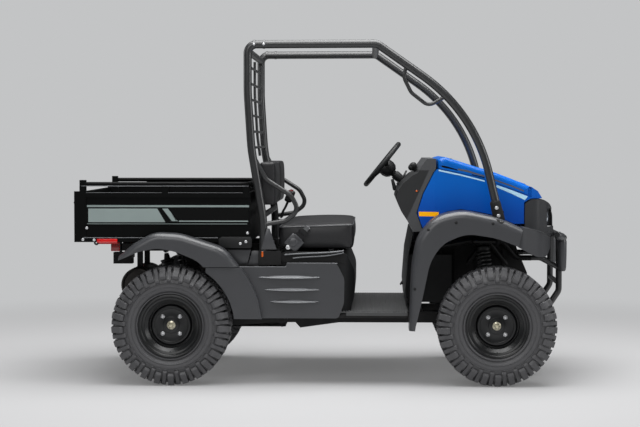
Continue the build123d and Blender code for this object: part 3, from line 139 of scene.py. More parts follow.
def wire(name, points, closed=False):
    """Corners extruded one after another from a first one."""
    deselect()
    bpy.ops.mesh.primitive_plane_add(size=0.001, location=points[0])
    piece = added(name)
    with shaping(piece):
        bpy.ops.mesh.merge(type="CENTER")
        for start, end in zip(points, points[1:]):
            bpy.ops.mesh.extrude_vertices_move(TRANSFORM_OT_translate={"value": end - start})
        if closed:
            form = bmesh.from_edit_mesh(piece.data)
            form.verts.ensure_lookup_table()
            ends = [v for v in form.verts if len(v.link_edges) == 1]
            pick("verts", lambda v: v in ends)
            bpy.ops.mesh.edge_face_add()
    return piece


def turned(name, profile, centre, axis, steps=64, closed=False):
    """A profile of (radius, along) points spun about an axis, all in millimetres."""
    axis = Vector(axis).normalized()
    out = axis.orthogonal().normalized()
    centre = mm(*centre)
    points = [centre + (out * radius + axis * along) / 1000 for radius, along in profile]
    piece = wire(name, points, closed)
    with shaping(piece):
        bpy.ops.mesh.spin(steps=steps, angle=FULL_TURN, center=centre, axis=axis)
    return welded(piece)


def slab(name, outline, depth):
    """A flat outline of places in millimetres, pushed out by a depth vector."""
    piece = wire(name, [mm(*point) for point in outline])
    with shaping(piece):
        bpy.ops.mesh.edge_face_add()
        bpy.ops.mesh.extrude_region_move(TRANSFORM_OT_translate={"value": mm(*depth)})
        bpy.ops.mesh.select_all(action="SELECT")
        bpy.ops.mesh.normals_make_consistent(inside=False)
    return piece


def box(name, low, high):
    """A box between two corners, to be shaped."""
    low, high = mm(*low), mm(*high)
    deselect()
    bpy.ops.mesh.primitive_cube_add(size=1, location=(low + high) / 2)
    bpy.context.object.scale = high - low
    return added(name)


def drum(name, start, end, radius, sides=32):
    """A round bar between two places, to be shaped."""
    start, end = mm(*start), mm(*end)
    run = end - start
    deselect()
    bpy.ops.mesh.primitive_cylinder_add(vertices=sides, radius=radius / 1000, depth=run.length,
                                        location=(start + end) / 2, rotation=run.to_track_quat("Z", "Y").to_euler())
    return added(name)


def tube(name, points, radius, closed=False, smooth=False, sides=6):
    """Round bar along a line of places, in millimetres."""
    deselect()
    bpy.ops.curve.primitive_nurbs_path_add(location=(0, 0, 0))
    piece = bpy.context.object
    piece.name = piece.data.name = name
    line = piece.data
    line.splines.clear()
    spline = line.splines.new("NURBS" if smooth else "POLY")
    spline.points.add(len(points) - 1)
    for point, place in zip(spline.points, points):
        point.co = (*mm(*place), 1)
    if smooth:
        spline.order_u = 3
        spline.use_endpoint_u = not closed
        spline.resolution_u = 8
    spline.use_cyclic_u = closed
    line.bevel_depth = radius / 1000
    line.bevel_resolution = sides
    line.use_fill_caps = not closed
    take(piece)
    bpy.ops.object.convert(target="MESH")
    return welded(bpy.context.object)


def joined(name, pieces):
    """Several pieces as one."""
    take(*pieces)
    if len(pieces) > 1:
        bpy.ops.object.join()
    piece = bpy.context.object
    piece.name = piece.data.name = name
    return piece


def copied(piece, name, move):
    """A copy with its own mesh, carried by a matrix; a mirrored one keeps its faces outwards."""
    twin = piece.copy()
    twin.data = piece.data.copy()
    twin.name = twin.data.name = name
    bpy.context.scene.collection.objects.link(twin)
    twin.data.transform(move)
    if move.determinant() < 0:
        twin.data.flip_normals()
    return twin


def moved(x, y, z):
    return Matrix.Translation(mm(x, y, z))


def turn_about(centre, axis, degrees):
    """A turn about an axis through a place in millimetres."""
    centre = mm(*centre)
    return Matrix.Translation(centre) @ Matrix.Rotation(math.radians(degrees), 4, Vector(axis)) \
        @ Matrix.Translation(-centre)


def aimed(place, direction):
    """Carries a piece made at the origin along +Z to a place and a direction."""
    return Matrix.Translation(mm(*place)) @ Vector(direction).to_track_quat("Z", "Y").to_matrix().to_4x4()


def fitted(piece, finish, body="chassis", stands_for=(), angle=35):
    """Gives a piece its finish and the body that carries it, and hides the frame's pieces that it stands for."""
    smoothed(piece, angle)
    piece.data.materials.clear()
    piece.data.materials.append(finish)
    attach(piece, body)
    if stands_for:
        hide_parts(*stands_for)
    return piece


def block(name, low, high, width, segments=2):
    """A box with rounded edges."""
    return rounded(box(name, low, high), width, segments)


def at_y(y, places):
    """Places (x, z) of the side view, at one y."""
    return [(x, y, z) for x, z in places]


def plate(name, y, depth, places, width, segments=2):
    """A plate cut to an outline (x, z) of the side view, from y through its thickness, with rounded edges."""
    return rounded(slab(name, at_y(y, places), (0, depth, 0)), width, segments)


def ring(name, centre, axis, profile, steps=48):
    return turned(name, profile, centre, axis, steps, closed=True)


def put(piece, move):
    """Carries a piece's own mesh by a matrix."""
    piece.data.transform(move)
    return piece


def around(name, piece, count, start=0.0):
    """Copies of a piece round the Y axis, in place of the piece itself."""
    turns = [copied(piece, f"{name}_{i}", turn_about(HUB, Y_AXIS, start + 360 / count * i)) for i in range(count)]
    bpy.data.objects.remove(piece)
    return turns




# ---------------------------------------------------------------- finishes
def paint_value(red, green, blue):
    """A colour named by its 0 to 255 screen values, as the linear values that a shader takes."""
    linear = [v / 255 / 12.92 if v <= 10 else ((v / 255 + 0.055) / 1.055) ** 2.4 for v in (red, green, blue)]
    return (*linear, 1.0)


GRAIN = 900.0            # cells a metre in the grain of moulded plastic


class Signal:
    """A shader socket that is written in sums: each operator adds its Math node."""

    def __init__(self, finish, socket):
        self.finish = finish
        self.socket = socket

    def math(self, operation, first, *rest):
        return self.finish.node("ShaderNodeMath", {"operation": operation}, first, *rest)

    def above(self, level, blur):
        """Goes from 0 to 1 as the signal passes a level."""
        return self.finish.node("ShaderNodeMapRange", {"interpolation_type": "SMOOTHSTEP"}, self, level - blur,
                                level + blur, 0.0, 1.0)


for _operator, _operation in (("add", "ADD"), ("sub", "SUBTRACT"), ("mul", "MULTIPLY"), ("pow", "POWER")):
    setattr(Signal, f"__{_operator}__", lambda self, other, kind=_operation: self.math(kind, self, other))
    setattr(Signal, f"__r{_operator}__", lambda self, other, kind=_operation: self.math(kind, other, self))


class Finish:
    """One material: its constants go on the shader's own sockets, and what varies is linked."""

    def __init__(self, name, **constants):
        self.material = bpy.data.materials.new(name)
        self.material.use_nodes = True
        self.tree = self.material.node_tree
        self.shader = self.tree.nodes["Principled BSDF"]
        for socket, value in constants.items():
            self.shader.inputs[socket.replace("_", " ")].default_value = value
        self.place = self.node("ShaderNodeTexCoord", {}, out="Object")

    @property
    def colour(self):
        """What feeds the base colour so far."""
        return Signal(self, self.shader.inputs["Base Color"].links[0].from_socket)

    def node(self, kind, settings, *values, out=0, **named):
        """Adds a node: its settings first, then the values or links of its sockets."""
        made = self.tree.nodes.new(kind)
        for key, value in settings.items():
            setattr(made, key, value)
        sockets = list(zip([s for s in made.inputs if s.enabled], values))
        sockets += [(made.inputs[key.replace("_", " ")], value) for key, value in named.items()]
        for socket, value in sockets:
            if isinstance(value, Signal):
                self.tree.links.new(value.socket, socket)
            else:
                socket.default_value = value
        outputs = [s for s in made.outputs if s.enabled]
        return Signal(self, made.outputs[out] if isinstance(out, str) else outputs[out])

    def noise(self, scale, detail=3.0, roughness=0.55, stretch=(1, 1, 1)):
        """Soft noise, so many cells a metre, around 0.5."""
        place = self.place
        if stretch != (1, 1, 1):
            place = self.node("ShaderNodeMapping", {}, self.place, Scale=stretch)
        return self.node("ShaderNodeTexNoise", {}, place, Scale=scale, Detail=detail, Roughness=roughness)

    def cells(self, scale=GRAIN, feature="F1"):
        """Distance to the nearest cell, so many cells a metre."""
        return self.node("ShaderNodeTexVoronoi", {"feature": feature}, self.place, Scale=scale, out="Distance")

    def waves(self, direction, scale, distortion=0.0):
        """Even ribs along a direction."""
        return self.node("ShaderNodeTexWave", {"wave_type": "BANDS", "bands_direction": direction}, self.place,
                         Scale=scale, Distortion=distortion)

    def along(self, axis):
        """The place along X, Y or Z, in metres."""
        return self.node("ShaderNodeSeparateXYZ", {}, self.place, out=axis)

    def blend(self, share, first, second):
        """One colour going over to another."""
        mix = self.tree.nodes.new("ShaderNodeMix")
        mix.data_type = "RGBA"
        for index, value in ((0, share), (6, first), (7, second)):
            if isinstance(value, Signal):
                self.tree.links.new(value.socket, mix.inputs[index])
            else:
                mix.inputs[index].default_value = value
        return Signal(self, mix.outputs[2])

    def feeds(self, **signals):
        for socket, signal in signals.items():
            self.tree.links.new(signal.socket, self.shader.inputs[socket.replace("_", " ")])

    def bumped(self, *heights):
        """Relief from (height, depth in millimetres) pairs, one over another."""
        normal = None
        for height, depth in heights:
            over = {} if normal is None else {"Normal": normal}
            normal = self.node("ShaderNodeBump", {}, Strength=1.0, Distance=depth / 1000, Height=height, **over)
        self.feeds(Normal=normal)
        return self


def tinted(name, colour, spread, rough, rough_spread=0.06, cloud=9.0, **constants):
    """A finish whose colour and roughness drift a little over the surface."""
    finish = Finish(name, **constants)
    drift = finish.noise(cloud, 4.0)
    light = [min(1.0, value * (1 + spread)) for value in colour[:3]] + [1.0]
    dark = [value * (1 - spread) for value in colour[:3]] + [1.0]
    finish.feeds(Base_Color=finish.blend(drift, dark, light),
                 Roughness=finish.noise(cloud * 4, 5.0) * (2 * rough_spread) + (rough - rough_spread))
    return finish


def dusty(finish, colour, share, low, high):
    """Road dust that settles more on the lower parts."""
    height = finish.along("Z")
    near_ground = 1 - height.above((low + high) / 2, (high - low) / 2)
    patches = finish.noise(14.0, 6.0, 0.7).above(0.55, 0.2)
    finish.feeds(Base_Color=finish.blend(near_ground * patches * share, finish.colour, colour))
    return finish


def body_paint():
    """Gloss blue moulded body colour under a clear coat, with faint orange peel, and painted shade: a darker blue on
    the lower parts.
    """
    finish = tinted("royal_blue_gloss", paint_value(0, 98, 194), 0.05, 0.4, 0.03, cloud=3.0, Coat_Weight=0.35,
                    Coat_Roughness=0.05, Specular_IOR_Level=0.15)
    # painted shade: below about 1 m the blue turns darker, and the upper parts keep the lighter blue as painted light
    finish.feeds(Base_Color=finish.blend(finish.along("Z").above(0.99, 0.13), paint_value(2, 72, 172), finish.colour))
    return finish.bumped((finish.noise(260.0, 2.0), 0.02), (finish.noise(30.0, 2.0), 0.05)).material


def grained_plastic(name, colour, rough, **constants):
    """Moulded plastic with a fine leather-like grain."""
    finish = tinted(name, colour, 0.08, rough, **constants)
    return finish.bumped((finish.cells(), 0.05), (finish.noise(GRAIN / 3, 3.0), 0.05))


def coated_steel(name, colour, rough, peel=420.0, depth=0.03, **constants):
    """Powder coated or painted steel."""
    finish = tinted(name, colour, 0.07, rough, **constants)
    return finish.bumped((finish.noise(peel, 3.0), depth))


def plated(name, colour, rough, streak=(1, 1, 1), metallic=1.0):
    """Bare or plated metal with fine wiped marks."""
    finish = tinted(name, colour, 0.12, rough, 0.1, cloud=60.0, Metallic=metallic)
    return finish.bumped((finish.noise(700.0, 4.0, stretch=streak), 0.02)).material


def fascia_plastic():
    """Grey valance below, darker smooth moulding round the lamps above."""
    finish = tinted("fascia_plastic", paint_value(56, 57, 60), 0.08, 0.4)
    lamp_surround = (finish.along("Z") + finish.along("X") * 0.42).above(1.298, 0.003)
    finish.feeds(Base_Color=finish.blend(lamp_surround, finish.colour, paint_value(56, 57, 59)),
                 Roughness=0.4 - lamp_surround * 0.14)
    return finish.bumped((finish.cells(), 0.04)).material


def dash_plastic():
    """Near-black dashboard, lighter grey beside the painted nose and above a height."""
    finish = tinted("dash_plastic", paint_value(36, 37, 38), 0.08, 0.42)
    # lighter grey above 1.146 m and forward of a slanted line beside the nose
    beside_nose = (finish.along("X") - finish.along("Z") * 0.453).above(0.05, 0.004)
    on_top = finish.along("Z").above(1.146, 0.003)
    lighter_grey_zone = on_top.math("MAXIMUM", beside_nose, on_top)
    finish.feeds(Base_Color=finish.blend(lighter_grey_zone, finish.colour, paint_value(72, 73, 75)))
    return finish.bumped((finish.cells(), 0.05)).material


def seat_cover(name, colour):
    """Black vinyl with pebbled grain and slightly polished high spots."""
    finish = tinted(name, colour, 0.1, 0.42, 0.07, cloud=16.0)
    grain = finish.cells(620.0, "SMOOTH_F1")
    creases = finish.cells(260.0, "DISTANCE_TO_EDGE").above(0.03, 0.03)
    return finish.bumped((grain, 0.16), (creases, 0.05), (finish.noise(26.0, 4.0), 0.5)).material


def tyre_rubber():
    """Moulded rubber with a fine grain and soft marks of wear."""
    finish = tinted("tyre_rubber", paint_value(78, 78, 80), 0.14, 0.44, 0.08, cloud=34.0)
    return finish.bumped((finish.noise(900.0, 4.0), 0.08), (finish.noise(160.0, 5.0), 0.12)).material


def woven(name, colour):
    """Belt webbing: fine ribs across two directions."""
    finish = tinted(name, colour, 0.12, 0.8, cloud=80.0)
    return finish.bumped((finish.waves("DIAGONAL", 190.0, 0.6), 0.25)).material


def lens(name, colour, rough=0.12):
    """Moulded lamp plastic: clear coat over a faintly fluted body."""
    finish = tinted(name, colour, 0.1, rough, 0.03, cloud=20.0, Coat_Weight=1.0, Coat_Roughness=0.03)
    return finish.bumped((finish.waves("Z", 26.0), 0.4)).material


def cast_metal(name, colour, rough=0.5, metallic=0.9):
    finish = tinted(name, colour, 0.15, rough, 0.1, cloud=30.0, Metallic=metallic)
    return finish.bumped((finish.noise(320.0, 6.0), 0.12)).material


def clear_lens(name):
    """Clear moulded cover: part glass, part gloss."""
    finish = Finish(name, Roughness=0.04, IOR=1.46, Coat_Weight=0.6, Coat_Roughness=0.03)
    finish.feeds(Base_Color=finish.blend(finish.noise(12.0), paint_value(58, 61, 65), paint_value(70, 73, 77)))
    finish.feeds(Alpha=finish.noise(30.0) * 0.04 + 0.4)
    return finish.bumped((finish.waves("Y", 30.0), 0.3)).material


BLUE = body_paint()
FASCIA = fascia_plastic()
DASH = dash_plastic()
GREY_PLASTIC = grained_plastic("grey_grained_plastic", paint_value(60, 61, 64), 0.34, Specular_IOR_Level=0.75).material
# painted highlight: a lighter grey for ribs, edges and beads that catch the overhead light
HIGHLIGHT_GREY = grained_plastic("bright_edge_plastic", paint_value(112, 114, 117), 0.4).material
BLACK_PLASTIC = grained_plastic("black_moulded_plastic", paint_value(24, 25, 26), 0.5, Specular_IOR_Level=0.35).material
FLOOR_PLASTIC = dusty(grained_plastic("ribbed_floor_plastic", paint_value(70, 71, 72), 0.55), paint_value(88, 86, 82),
                      0.3, 0.2, 0.6).material
CAGE_BLACK = coated_steel("satin_black_cage", paint_value(36, 37, 38), 0.32, Specular_IOR_Level=0.8).material
FRAME_BLACK = dusty(coated_steel("black_frame_paint", paint_value(16, 16, 17), 0.42, Specular_IOR_Level=0.3),
                    paint_value(62, 60, 58), 0.3, 0.0, 0.8).material
BED_BLACK = coated_steel("gloss_black_bed", paint_value(5, 6, 6), 0.42, 260.0, 0.015, Specular_IOR_Level=0.12).material
RIM_BLACK = coated_steel("satin_black_rim", paint_value(24, 25, 26), 0.32, Specular_IOR_Level=0.5).material
RUBBER = tyre_rubber()
VINYL = seat_cover("black_seat_vinyl", paint_value(34, 34, 36))
# painted highlight: the piping is real, but its grey, lighter than the vinyl, stands in for the line of light along it
PIPING_HIGHLIGHT = seat_cover("seat_piping_painted_highlight", paint_value(62, 63, 66))
WEBBING = woven("belt_webbing", paint_value(26, 26, 28))
# grey-green of the bed's decals, and also the painted highlight line above the band
STRIPE_AND_HIGHLIGHT_GREY = coated_steel("grey_green_stripe_and_highlight", paint_value(140, 153, 151), 0.4, depth=0.01).material
STRIPE_BLACK = coated_steel("black_stripe", paint_value(7, 8, 8), 0.4, depth=0.01, Specular_IOR_Level=0.15).material
# painted light: the orange bar's emission makes it glow a little, though it is no lamp
GLOWING_ORANGE = coated_steel("orange_bar", paint_value(255, 180, 0), 0.4, depth=0.01, Specular_IOR_Level=0.2,
                      Emission_Color=paint_value(255, 150, 0), Emission_Strength=0.16).material
ZINC = plated("bright_zinc", paint_value(222, 223, 225), 0.26, metallic=0.6)
YELLOW_ZINC = plated("yellow_zinc", paint_value(222, 216, 192), 0.3, metallic=0.6)
STEEL = plated("ground_steel", paint_value(150, 151, 153), 0.3)
EXHAUST = plated("exhaust_steel", paint_value(70, 68, 66), 0.5, (1, 6, 1))
ALLOY = cast_metal("cast_alloy", paint_value(112, 112, 114))
IRON = cast_metal("painted_iron", paint_value(34, 34, 35), 0.5, 0.4)
MIRROR = plated("lamp_reflector", paint_value(128, 132, 138), 0.3)
RED_LENS = lens("red_lens", paint_value(214, 14, 14))
DARK_RED_LENS = lens("dark_red_lens", paint_value(120, 8, 10))
AMBER_LENS = lens("amber_lens", paint_value(214, 96, 16))
# near-black for black parts such as switches, lamp housings and liners, and also painted shade: near-black sheets in
# the recess round the amber reflector and the gap under the seat
NEAR_BLACK_AND_SHADE = grained_plastic("near_black_and_painted_shade", paint_value(10, 10, 11), 0.8).material
# painted highlight: pale blue for the light reflected along the cowl's ridge and top chamfer
PAINTED_HIGHLIGHT_BLUE = coated_steel("pale_blue_painted_highlight", paint_value(184, 226, 250), 0.35, depth=0.01).material
TAUPE = coated_steel("taupe_stripe", paint_value(92, 90, 92), 0.35, depth=0.01).material
LAMP_GLASS = clear_lens("clear_lamp_cover")
DARK_GLASS = lens("gauge_glass", paint_value(18, 20, 22), 0.05)


# ---------------------------------------------------------------- wheels
AXLE_Z = 318
FRONT_AXLE_X, REAR_AXLE_X = 927, -811
FRONT_WHEEL_Y, REAR_WHEEL_Y = 566, 543
FRONT_HALF_TYRE, REAR_HALF_TYRE = 102, 125
LUG_PITCHES = 25

LUG_TABLE = (  # (across, radius) outline, half length at the crown, place in the pitch, slant in degrees
    (((40, 298), (40, 317.4), (70, 317.4), (79, 314), (81, 298), (100, 273), (101.5, 264), (95, 250), (80, 270)),
     17.0, 0.25, 6),
    (((56, 298), (56, 317), (68, 316), (76, 309), (83, 276), (100, 253), (101.5, 246), (94, 234), (80, 262)),
     11.5, 0.75, 6),
    (((3, 300), (3, 317.4), (34, 317.4), (34, 300)), 15.0, 0.30, 22),
    (((16, 300), (16, 317), (50, 317), (50, 300)), 10.5, 0.80, -18),
)


def tread_lug(index, outline, half_length, place, slant):
    """One row of tread lugs around the tyre, each a little narrower at its top."""
    lug = slab(f"lug_{index}", [(-half_length, across, radius) for across, radius in outline], (2 * half_length, 0, 0))
    with shaping(lug):
        pick("faces", lambda f: f.normal.z > 0.6 or f.normal.y > 0.6)
        bpy.ops.transform.resize(value=(0.93, 1, 1), center_override=HUB)
    put(rounded(lug, 1.6, 1, 30), Matrix.Rotation(math.radians(slant * 0.35), 4, Z_AXIS))
    return joined(f"lug_row_{index}", around(f"lug_{index}", lug, LUG_PITCHES, 360 / LUG_PITCHES * place))


def tyre():
    """Carcass with its beads, rim guard and shoulder ribs, and four rows of lugs on each side."""
    half = [(0, 305), (38, 304), (58, 298), (74, 284), (84, 266), (92, 244), (96, 222), (96, 214), (90, 196),
            (84, 184), (80, 176), (76, 171), (74, 160), (73, 153)]
    inner = [(60, 153), (64, 176), (80, 204), (84, 240), (74, 276), (50, 290), (0, 292)]
    outer = [(radius, across) for across, radius in half]
    section = [(radius, -across) for across, radius in reversed(half)][:-1] + outer
    section += [(radius, across) for across, radius in inner] + [(radius, -across) for across, radius in inner[-2::-1]]
    carcass = turned("carcass", section, HUB, Y_AXIS, 100, closed=True)
    rings = [turned(f"sidewall_ring_{i}", [(radius - 2.2, 90), (radius - 1.2, across), (radius + 1.2, across),
                                           (radius + 2.2, 90)], HUB, Y_AXIS, 100, closed=True)
             for i, (radius, across) in enumerate(((177, 83.5), (206, 96), (232, 99.5)))]
    rows = [tread_lug(i, *row) for i, row in enumerate(LUG_TABLE)]
    outer_side = joined("outer_side", rings + rows)
    inner_side = copied(outer_side, "inner_side", Matrix.Scale(-1, 4, Y_AXIS) @ turn_about(HUB, Y_AXIS, 3.6))
    return joined("tyre", [carcass, outer_side, inner_side])


DISH = (  # (radius, distance outside the disc's place) of the dished disc
    (0, 9), (24, 9), (26, 8), (38, 8), (42, 7), (44, 3), (47, 2), (84, 2), (88, 3), (91, 6), (98, 7), (102, 6),
    (106, 1), (109, -6), (112, -8), (121, -8), (122, -12), (112, -12), (108, -9), (100, 0), (90, 0), (84, -2),
    (40, -2), (40, -50), (0, -50))


def rim(rim_width, disc):
    """Pressed steel rim: rolled flanges, bead seats, drop well, and a dished disc."""
    half = rim_width / 2
    barrel = [(167, half - 2), (168, half), (165, half + 1), (160, half - 1), (156, half - 5), (154, half - 9),
              (149, half - 11), (144, half - 13), (141, half - 17), (126, half - 26), (123, half - 30),
              (122, half - 48), (122, 48 - half), (126, 40 - half), (146, 31 - half), (150, 27 - half),
              (152, 12 - half), (155, 6 - half), (160, 1 - half), (165, -1 - half), (168, -half), (167, 2 - half)]
    back = [(r - 3.4, a - (0.5 if a > 0 else -0.5)) for r, a in reversed(barrel[1:-1])]
    shell = turned("rim_barrel", barrel + back, HUB, -Y_AXIS, 96, closed=True)
    dish = turned("rim_disc", [(radius, disc + out) for radius, out in DISH], HUB, -Y_AXIS, 96)
    # stiffening ribs pressed between the disc and the drop well
    rib = block("rib", (-4, -(disc - 6), 111), (4, -(disc - 16), 122), 3)
    return joined("rim", [shell, dish] + around("rib", rib, 12, 15))


def lug_nut():
    """Domed nut on its washer face, standing along +Z."""
    dome = turned("nut_dome", [(0, 15), (3, 14.6), (6.4, 12.4), (8, 9.4), (8.4, 8), (9.6, 7.4), (10.4, 6)], HUB,
                  Z_AXIS, 24)
    hexagon = rounded(drum("nut_flats", (0, 0, 0), (0, 0, 8), 10.6, 6), 0.7, 2)
    collar = turned("nut_collar", [(11.5, 0), (11.5, 1.2), (10.6, 2), (0, 2)], HUB, Z_AXIS, 24)
    return joined("lug_nut", [dome, hexagon, collar])


def axle_nut():
    """Castle nut, washer and the end of the spindle, standing along +Z."""
    washer = turned("washer", [(23, 0), (23, 2), (16, 7), (9, 7)], HUB, Z_AXIS, 40)
    flats = rounded(drum("castle", (0, 0, 2), (0, 0, 13), 17, 6), 1.2, 2)
    crown = turned("crown", [(8, 13), (13.4, 13), (14, 12.4), (14.4, 9)], HUB, Z_AXIS, 36)
    stub = turned("spindle_end", [(0, 14), (2.4, 14), (3, 12.4), (5.6, 12.4), (7.4, 14), (9, 12.8), (9, 6)], HUB,
                  Z_AXIS, 36)
    teeth = [put(block(f"tooth_{i}", (-3, 9.4, 10), (3, 14.2, 15.4), 0.8, 1),
                 Matrix.Rotation(math.radians(60 * i), 4, Z_AXIS)) for i in range(6)]
    return joined("axle_nut", [washer, flats, crown, stub] + teeth)


def valve_stem():
    """Rubber valve with its cap, standing along +Z."""
    return turned("valve_stem", [(0, 26), (3, 26), (3.6, 25), (3.6, 16), (3, 15.4), (4.2, 13), (5.4, 4), (7.5, 1.6),
                                 (7.5, 0)], HUB, Z_AXIS, 20)


WHEELS = (  # name, x, y of the right-hand wheel, half width of the tyre, width of the rim, place of the disc
    ("front", FRONT_AXLE_X, FRONT_WHEEL_Y, FRONT_HALF_TYRE, 156, 18),
    ("rear", REAR_AXLE_X, REAR_WHEEL_Y, REAR_HALF_TYRE, 204, 41),
)
NUT_RING = 65            # radius of the ring of lug nuts
VALVE_RING = 138         # the valve's distance below the hub


def wheels():
    round_tyre, nut, castle, valve = tyre(), lug_nut(), axle_nut(), valve_stem()
    for end, x, y, half_tyre, rim_width, disc in WHEELS:
        steel_rim = rim(rim_width, disc)
        wide = Matrix.Scale(half_tyre / FRONT_HALF_TYRE, 4, Y_AXIS)
        for side, where in SIDES:
            where = f"{end}_{where}"
            body = f"wheel_{where}"
            place = moved(x, side * y, AXLE_Z)
            if side == LEFT:
                place = place @ Matrix.Rotation(math.pi, 4, Z_AXIS)
            fitted(copied(round_tyre, f"knobby_tyre_{where}", place @ wide), RUBBER, body,
                   stands_for=(f"tyre_{where}",), angle=32)
            fitted(copied(steel_rim, f"steel_rim_{where}", place), RIM_BLACK, body, stands_for=(f"rim_{where}",),
                   angle=30)

            def outside(name, pattern, rise, out, run=0):
                """A copy of a pattern on the wheel's outer side, that far along, out and up from the hub."""
                return copied(pattern, name, aimed((x + run, side * (y + out), AXLE_Z + rise), (0, side, 0)))
            nuts = []
            for i in range(4):
                angle = math.radians(45 + 90 * i)
                nuts.append(outside(f"lug_nut_{i}", nut, NUT_RING * math.sin(angle), disc + 2,
                                    NUT_RING * math.cos(angle)))
            fitted(joined(f"lug_nuts_{where}", nuts), ZINC, body)
            fitted(outside(f"axle_nut_{where}", castle, 0, disc + 9), YELLOW_ZINC, body)
            fitted(outside(f"valve_stem_{where}", valve, -VALVE_RING, rim_width / 2 - 42), BLACK_PLASTIC, body)
        bpy.data.objects.remove(steel_rim)
    for pattern in (round_tyre, nut, castle, valve):
        bpy.data.objects.remove(pattern)


wheels()


# ---------------------------------------------------------------- finishes of the frame's own pieces
NODE_FINISHES = (
    (BLUE, ("hood_cowl", "hood_lid")),
    (GREY_PLASTIC, ("front_fender_right", "front_fender_left", "side_cover_right", "side_cover_left",
                    "rear_fender_right", "rear_fender_left")),
    (FASCIA, ("front_fascia",)),
    (DASH, ("dashboard",)),
    (BLACK_PLASTIC, ("toe_board", "gear_lever", "seat_riser")),
    (FLOOR_PLASTIC, ("floor_plate",)),
    (CAGE_BLACK, ("cage_front", "cage_rear", "rear_screen", "front_guard")),
    (FRAME_BLACK, ("frame_front", "frame_lower", "frame_rear", "lower_arms", "steering_column")),
    (BED_BLACK, ("bed_tub", "bed_rails", "tailgate")),
    (ALLOY, ("engine", "radiator")),
    (EXHAUST, ("muffler",)),
    (IRON, ("rear_axle", "front_drive")),
    (STEEL, ("steering_rack",)),
    (RED_LENS, ("tail_lamps",)),
)
for coat, nodes in NODE_FINISHES:
    for name in nodes:
        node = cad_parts[name]
        if not node.material_slots:
            node.data.materials.append(coat)
        for place in node.material_slots:
            place.material = coat




# ---------------------------------------------------------------- seats
CUSHION_LOW, CUSHION_HIGH = (-238, -500, 726), (163, 500, 861)
PAD_LOW, PAD_HIGH = (-342, 44, 959), (-262, 491, 1188)
PIPE_Z = 851             # height of the cushion's piping at the front
PIPE_LEAN = 0.035        # its rise towards the front
PIPE_RADIUS = 3.6
PRESSURE = 4
STEPS = 20


def stuffed(piece, voxel, held, cap):
    """Fills a cover from inside by a cloth simulation, held along its seams, and rounds the result."""
    modified(piece, "REMESH", mode="VOXEL", voxel_size=voxel / 1000, use_smooth_shade=True)
    points = piece.data.vertices
    sewn = [v.co.copy() for v in points]
    seams = piece.vertex_groups.new(name="seams")
    seams.add([v.index for v in points if held(v.co * 1000)], 1.0, "REPLACE")
    cloth = piece.modifiers.new("Filling", "CLOTH")
    cloth.settings.effector_weights.gravity = 0
    for setting, value in dict(vertex_group_mass="seams", use_pressure=True, uniform_pressure_force=PRESSURE,
                               quality=4, mass=0.4, tension_stiffness=12, compression_stiffness=12).items():
        setattr(cloth.settings, setting, value)
    for step in range(1, STEPS + 1):
        bpy.context.scene.frame_set(step)
    take(piece)
    bpy.ops.object.modifier_apply(modifier=cloth.name)
    bpy.context.scene.frame_set(1)
    for point, start in zip(piece.data.vertices, sewn):
        swell = point.co - start
        if swell.length > cap / 1000:
            point.co = start + swell.normalized() * cap / 1000
    return modified(piece, "SUBSURF", levels=1, render_levels=1)


def round_box(name, low, high, corner, edge):
    """Box with rounded upright corners and softer top and bottom edges."""
    piece = box(name, low, high)
    with shaping(piece):
        pick("edges", lambda e: abs((e.verts[0].co - e.verts[1].co).normalized().z) > 0.9)
        bpy.ops.mesh.bevel(offset=corner / 1000, segments=5, affect="EDGES")
    return rounded(piece, edge, 3, 50)


def loop_of_piping(name, low, high, corner, height, lean=0.0):
    """Piping round a cushion at one height, a little lower towards its back."""
    x0, y0 = low[0] + 1, low[1] + 1
    x1, y1 = high[0] - 1, high[1] - 1
    points = []
    for cx, cy, start in ((x1 - corner, y1 - corner, 0), (x0 + corner, y1 - corner, 90),
                          (x0 + corner, y0 + corner, 180), (x1 - corner, y0 + corner, 270)):
        for i in range(7):
            angle = math.radians(start + 15 * i)
            x = cx + corner * math.cos(angle)
            points.append((x, cy + corner * math.sin(angle), height + lean * (x - x1)))
    return tube(name, points, PIPE_RADIUS, closed=True, sides=4)


def seat_cushion():
    cushion = round_box("bench_cushion", CUSHION_LOW, CUSHION_HIGH, 30, 16)
    with shaping(cushion):
        # the top falls a little to the back, and the front of it is a little fuller
        pick("verts", lambda v: v.co.z > 0.8 and v.co.x < -0.1)
        bpy.ops.transform.translate(value=(0, 0, -0.012))

    def held(place):
        on_side = (place.x < CUSHION_LOW[0] + 6 or place.x > CUSHION_HIGH[0] - 6 or abs(place.y) > CUSHION_HIGH[1] - 6)
        seam = PIPE_Z + PIPE_LEAN * (place.x - CUSHION_HIGH[0])
        return place.z < CUSHION_LOW[2] + 8 or (on_side and abs(place.z - seam) < 5)
    stuffed(cushion, 7, held, 30)
    fitted(cushion, VINYL, stands_for=("seat_cushion",), angle=60)
    piping = loop_of_piping("cushion_piping", CUSHION_LOW, CUSHION_HIGH, 30, PIPE_Z, PIPE_LEAN)
    fitted(piping, PIPING_HIGHLIGHT, angle=60)


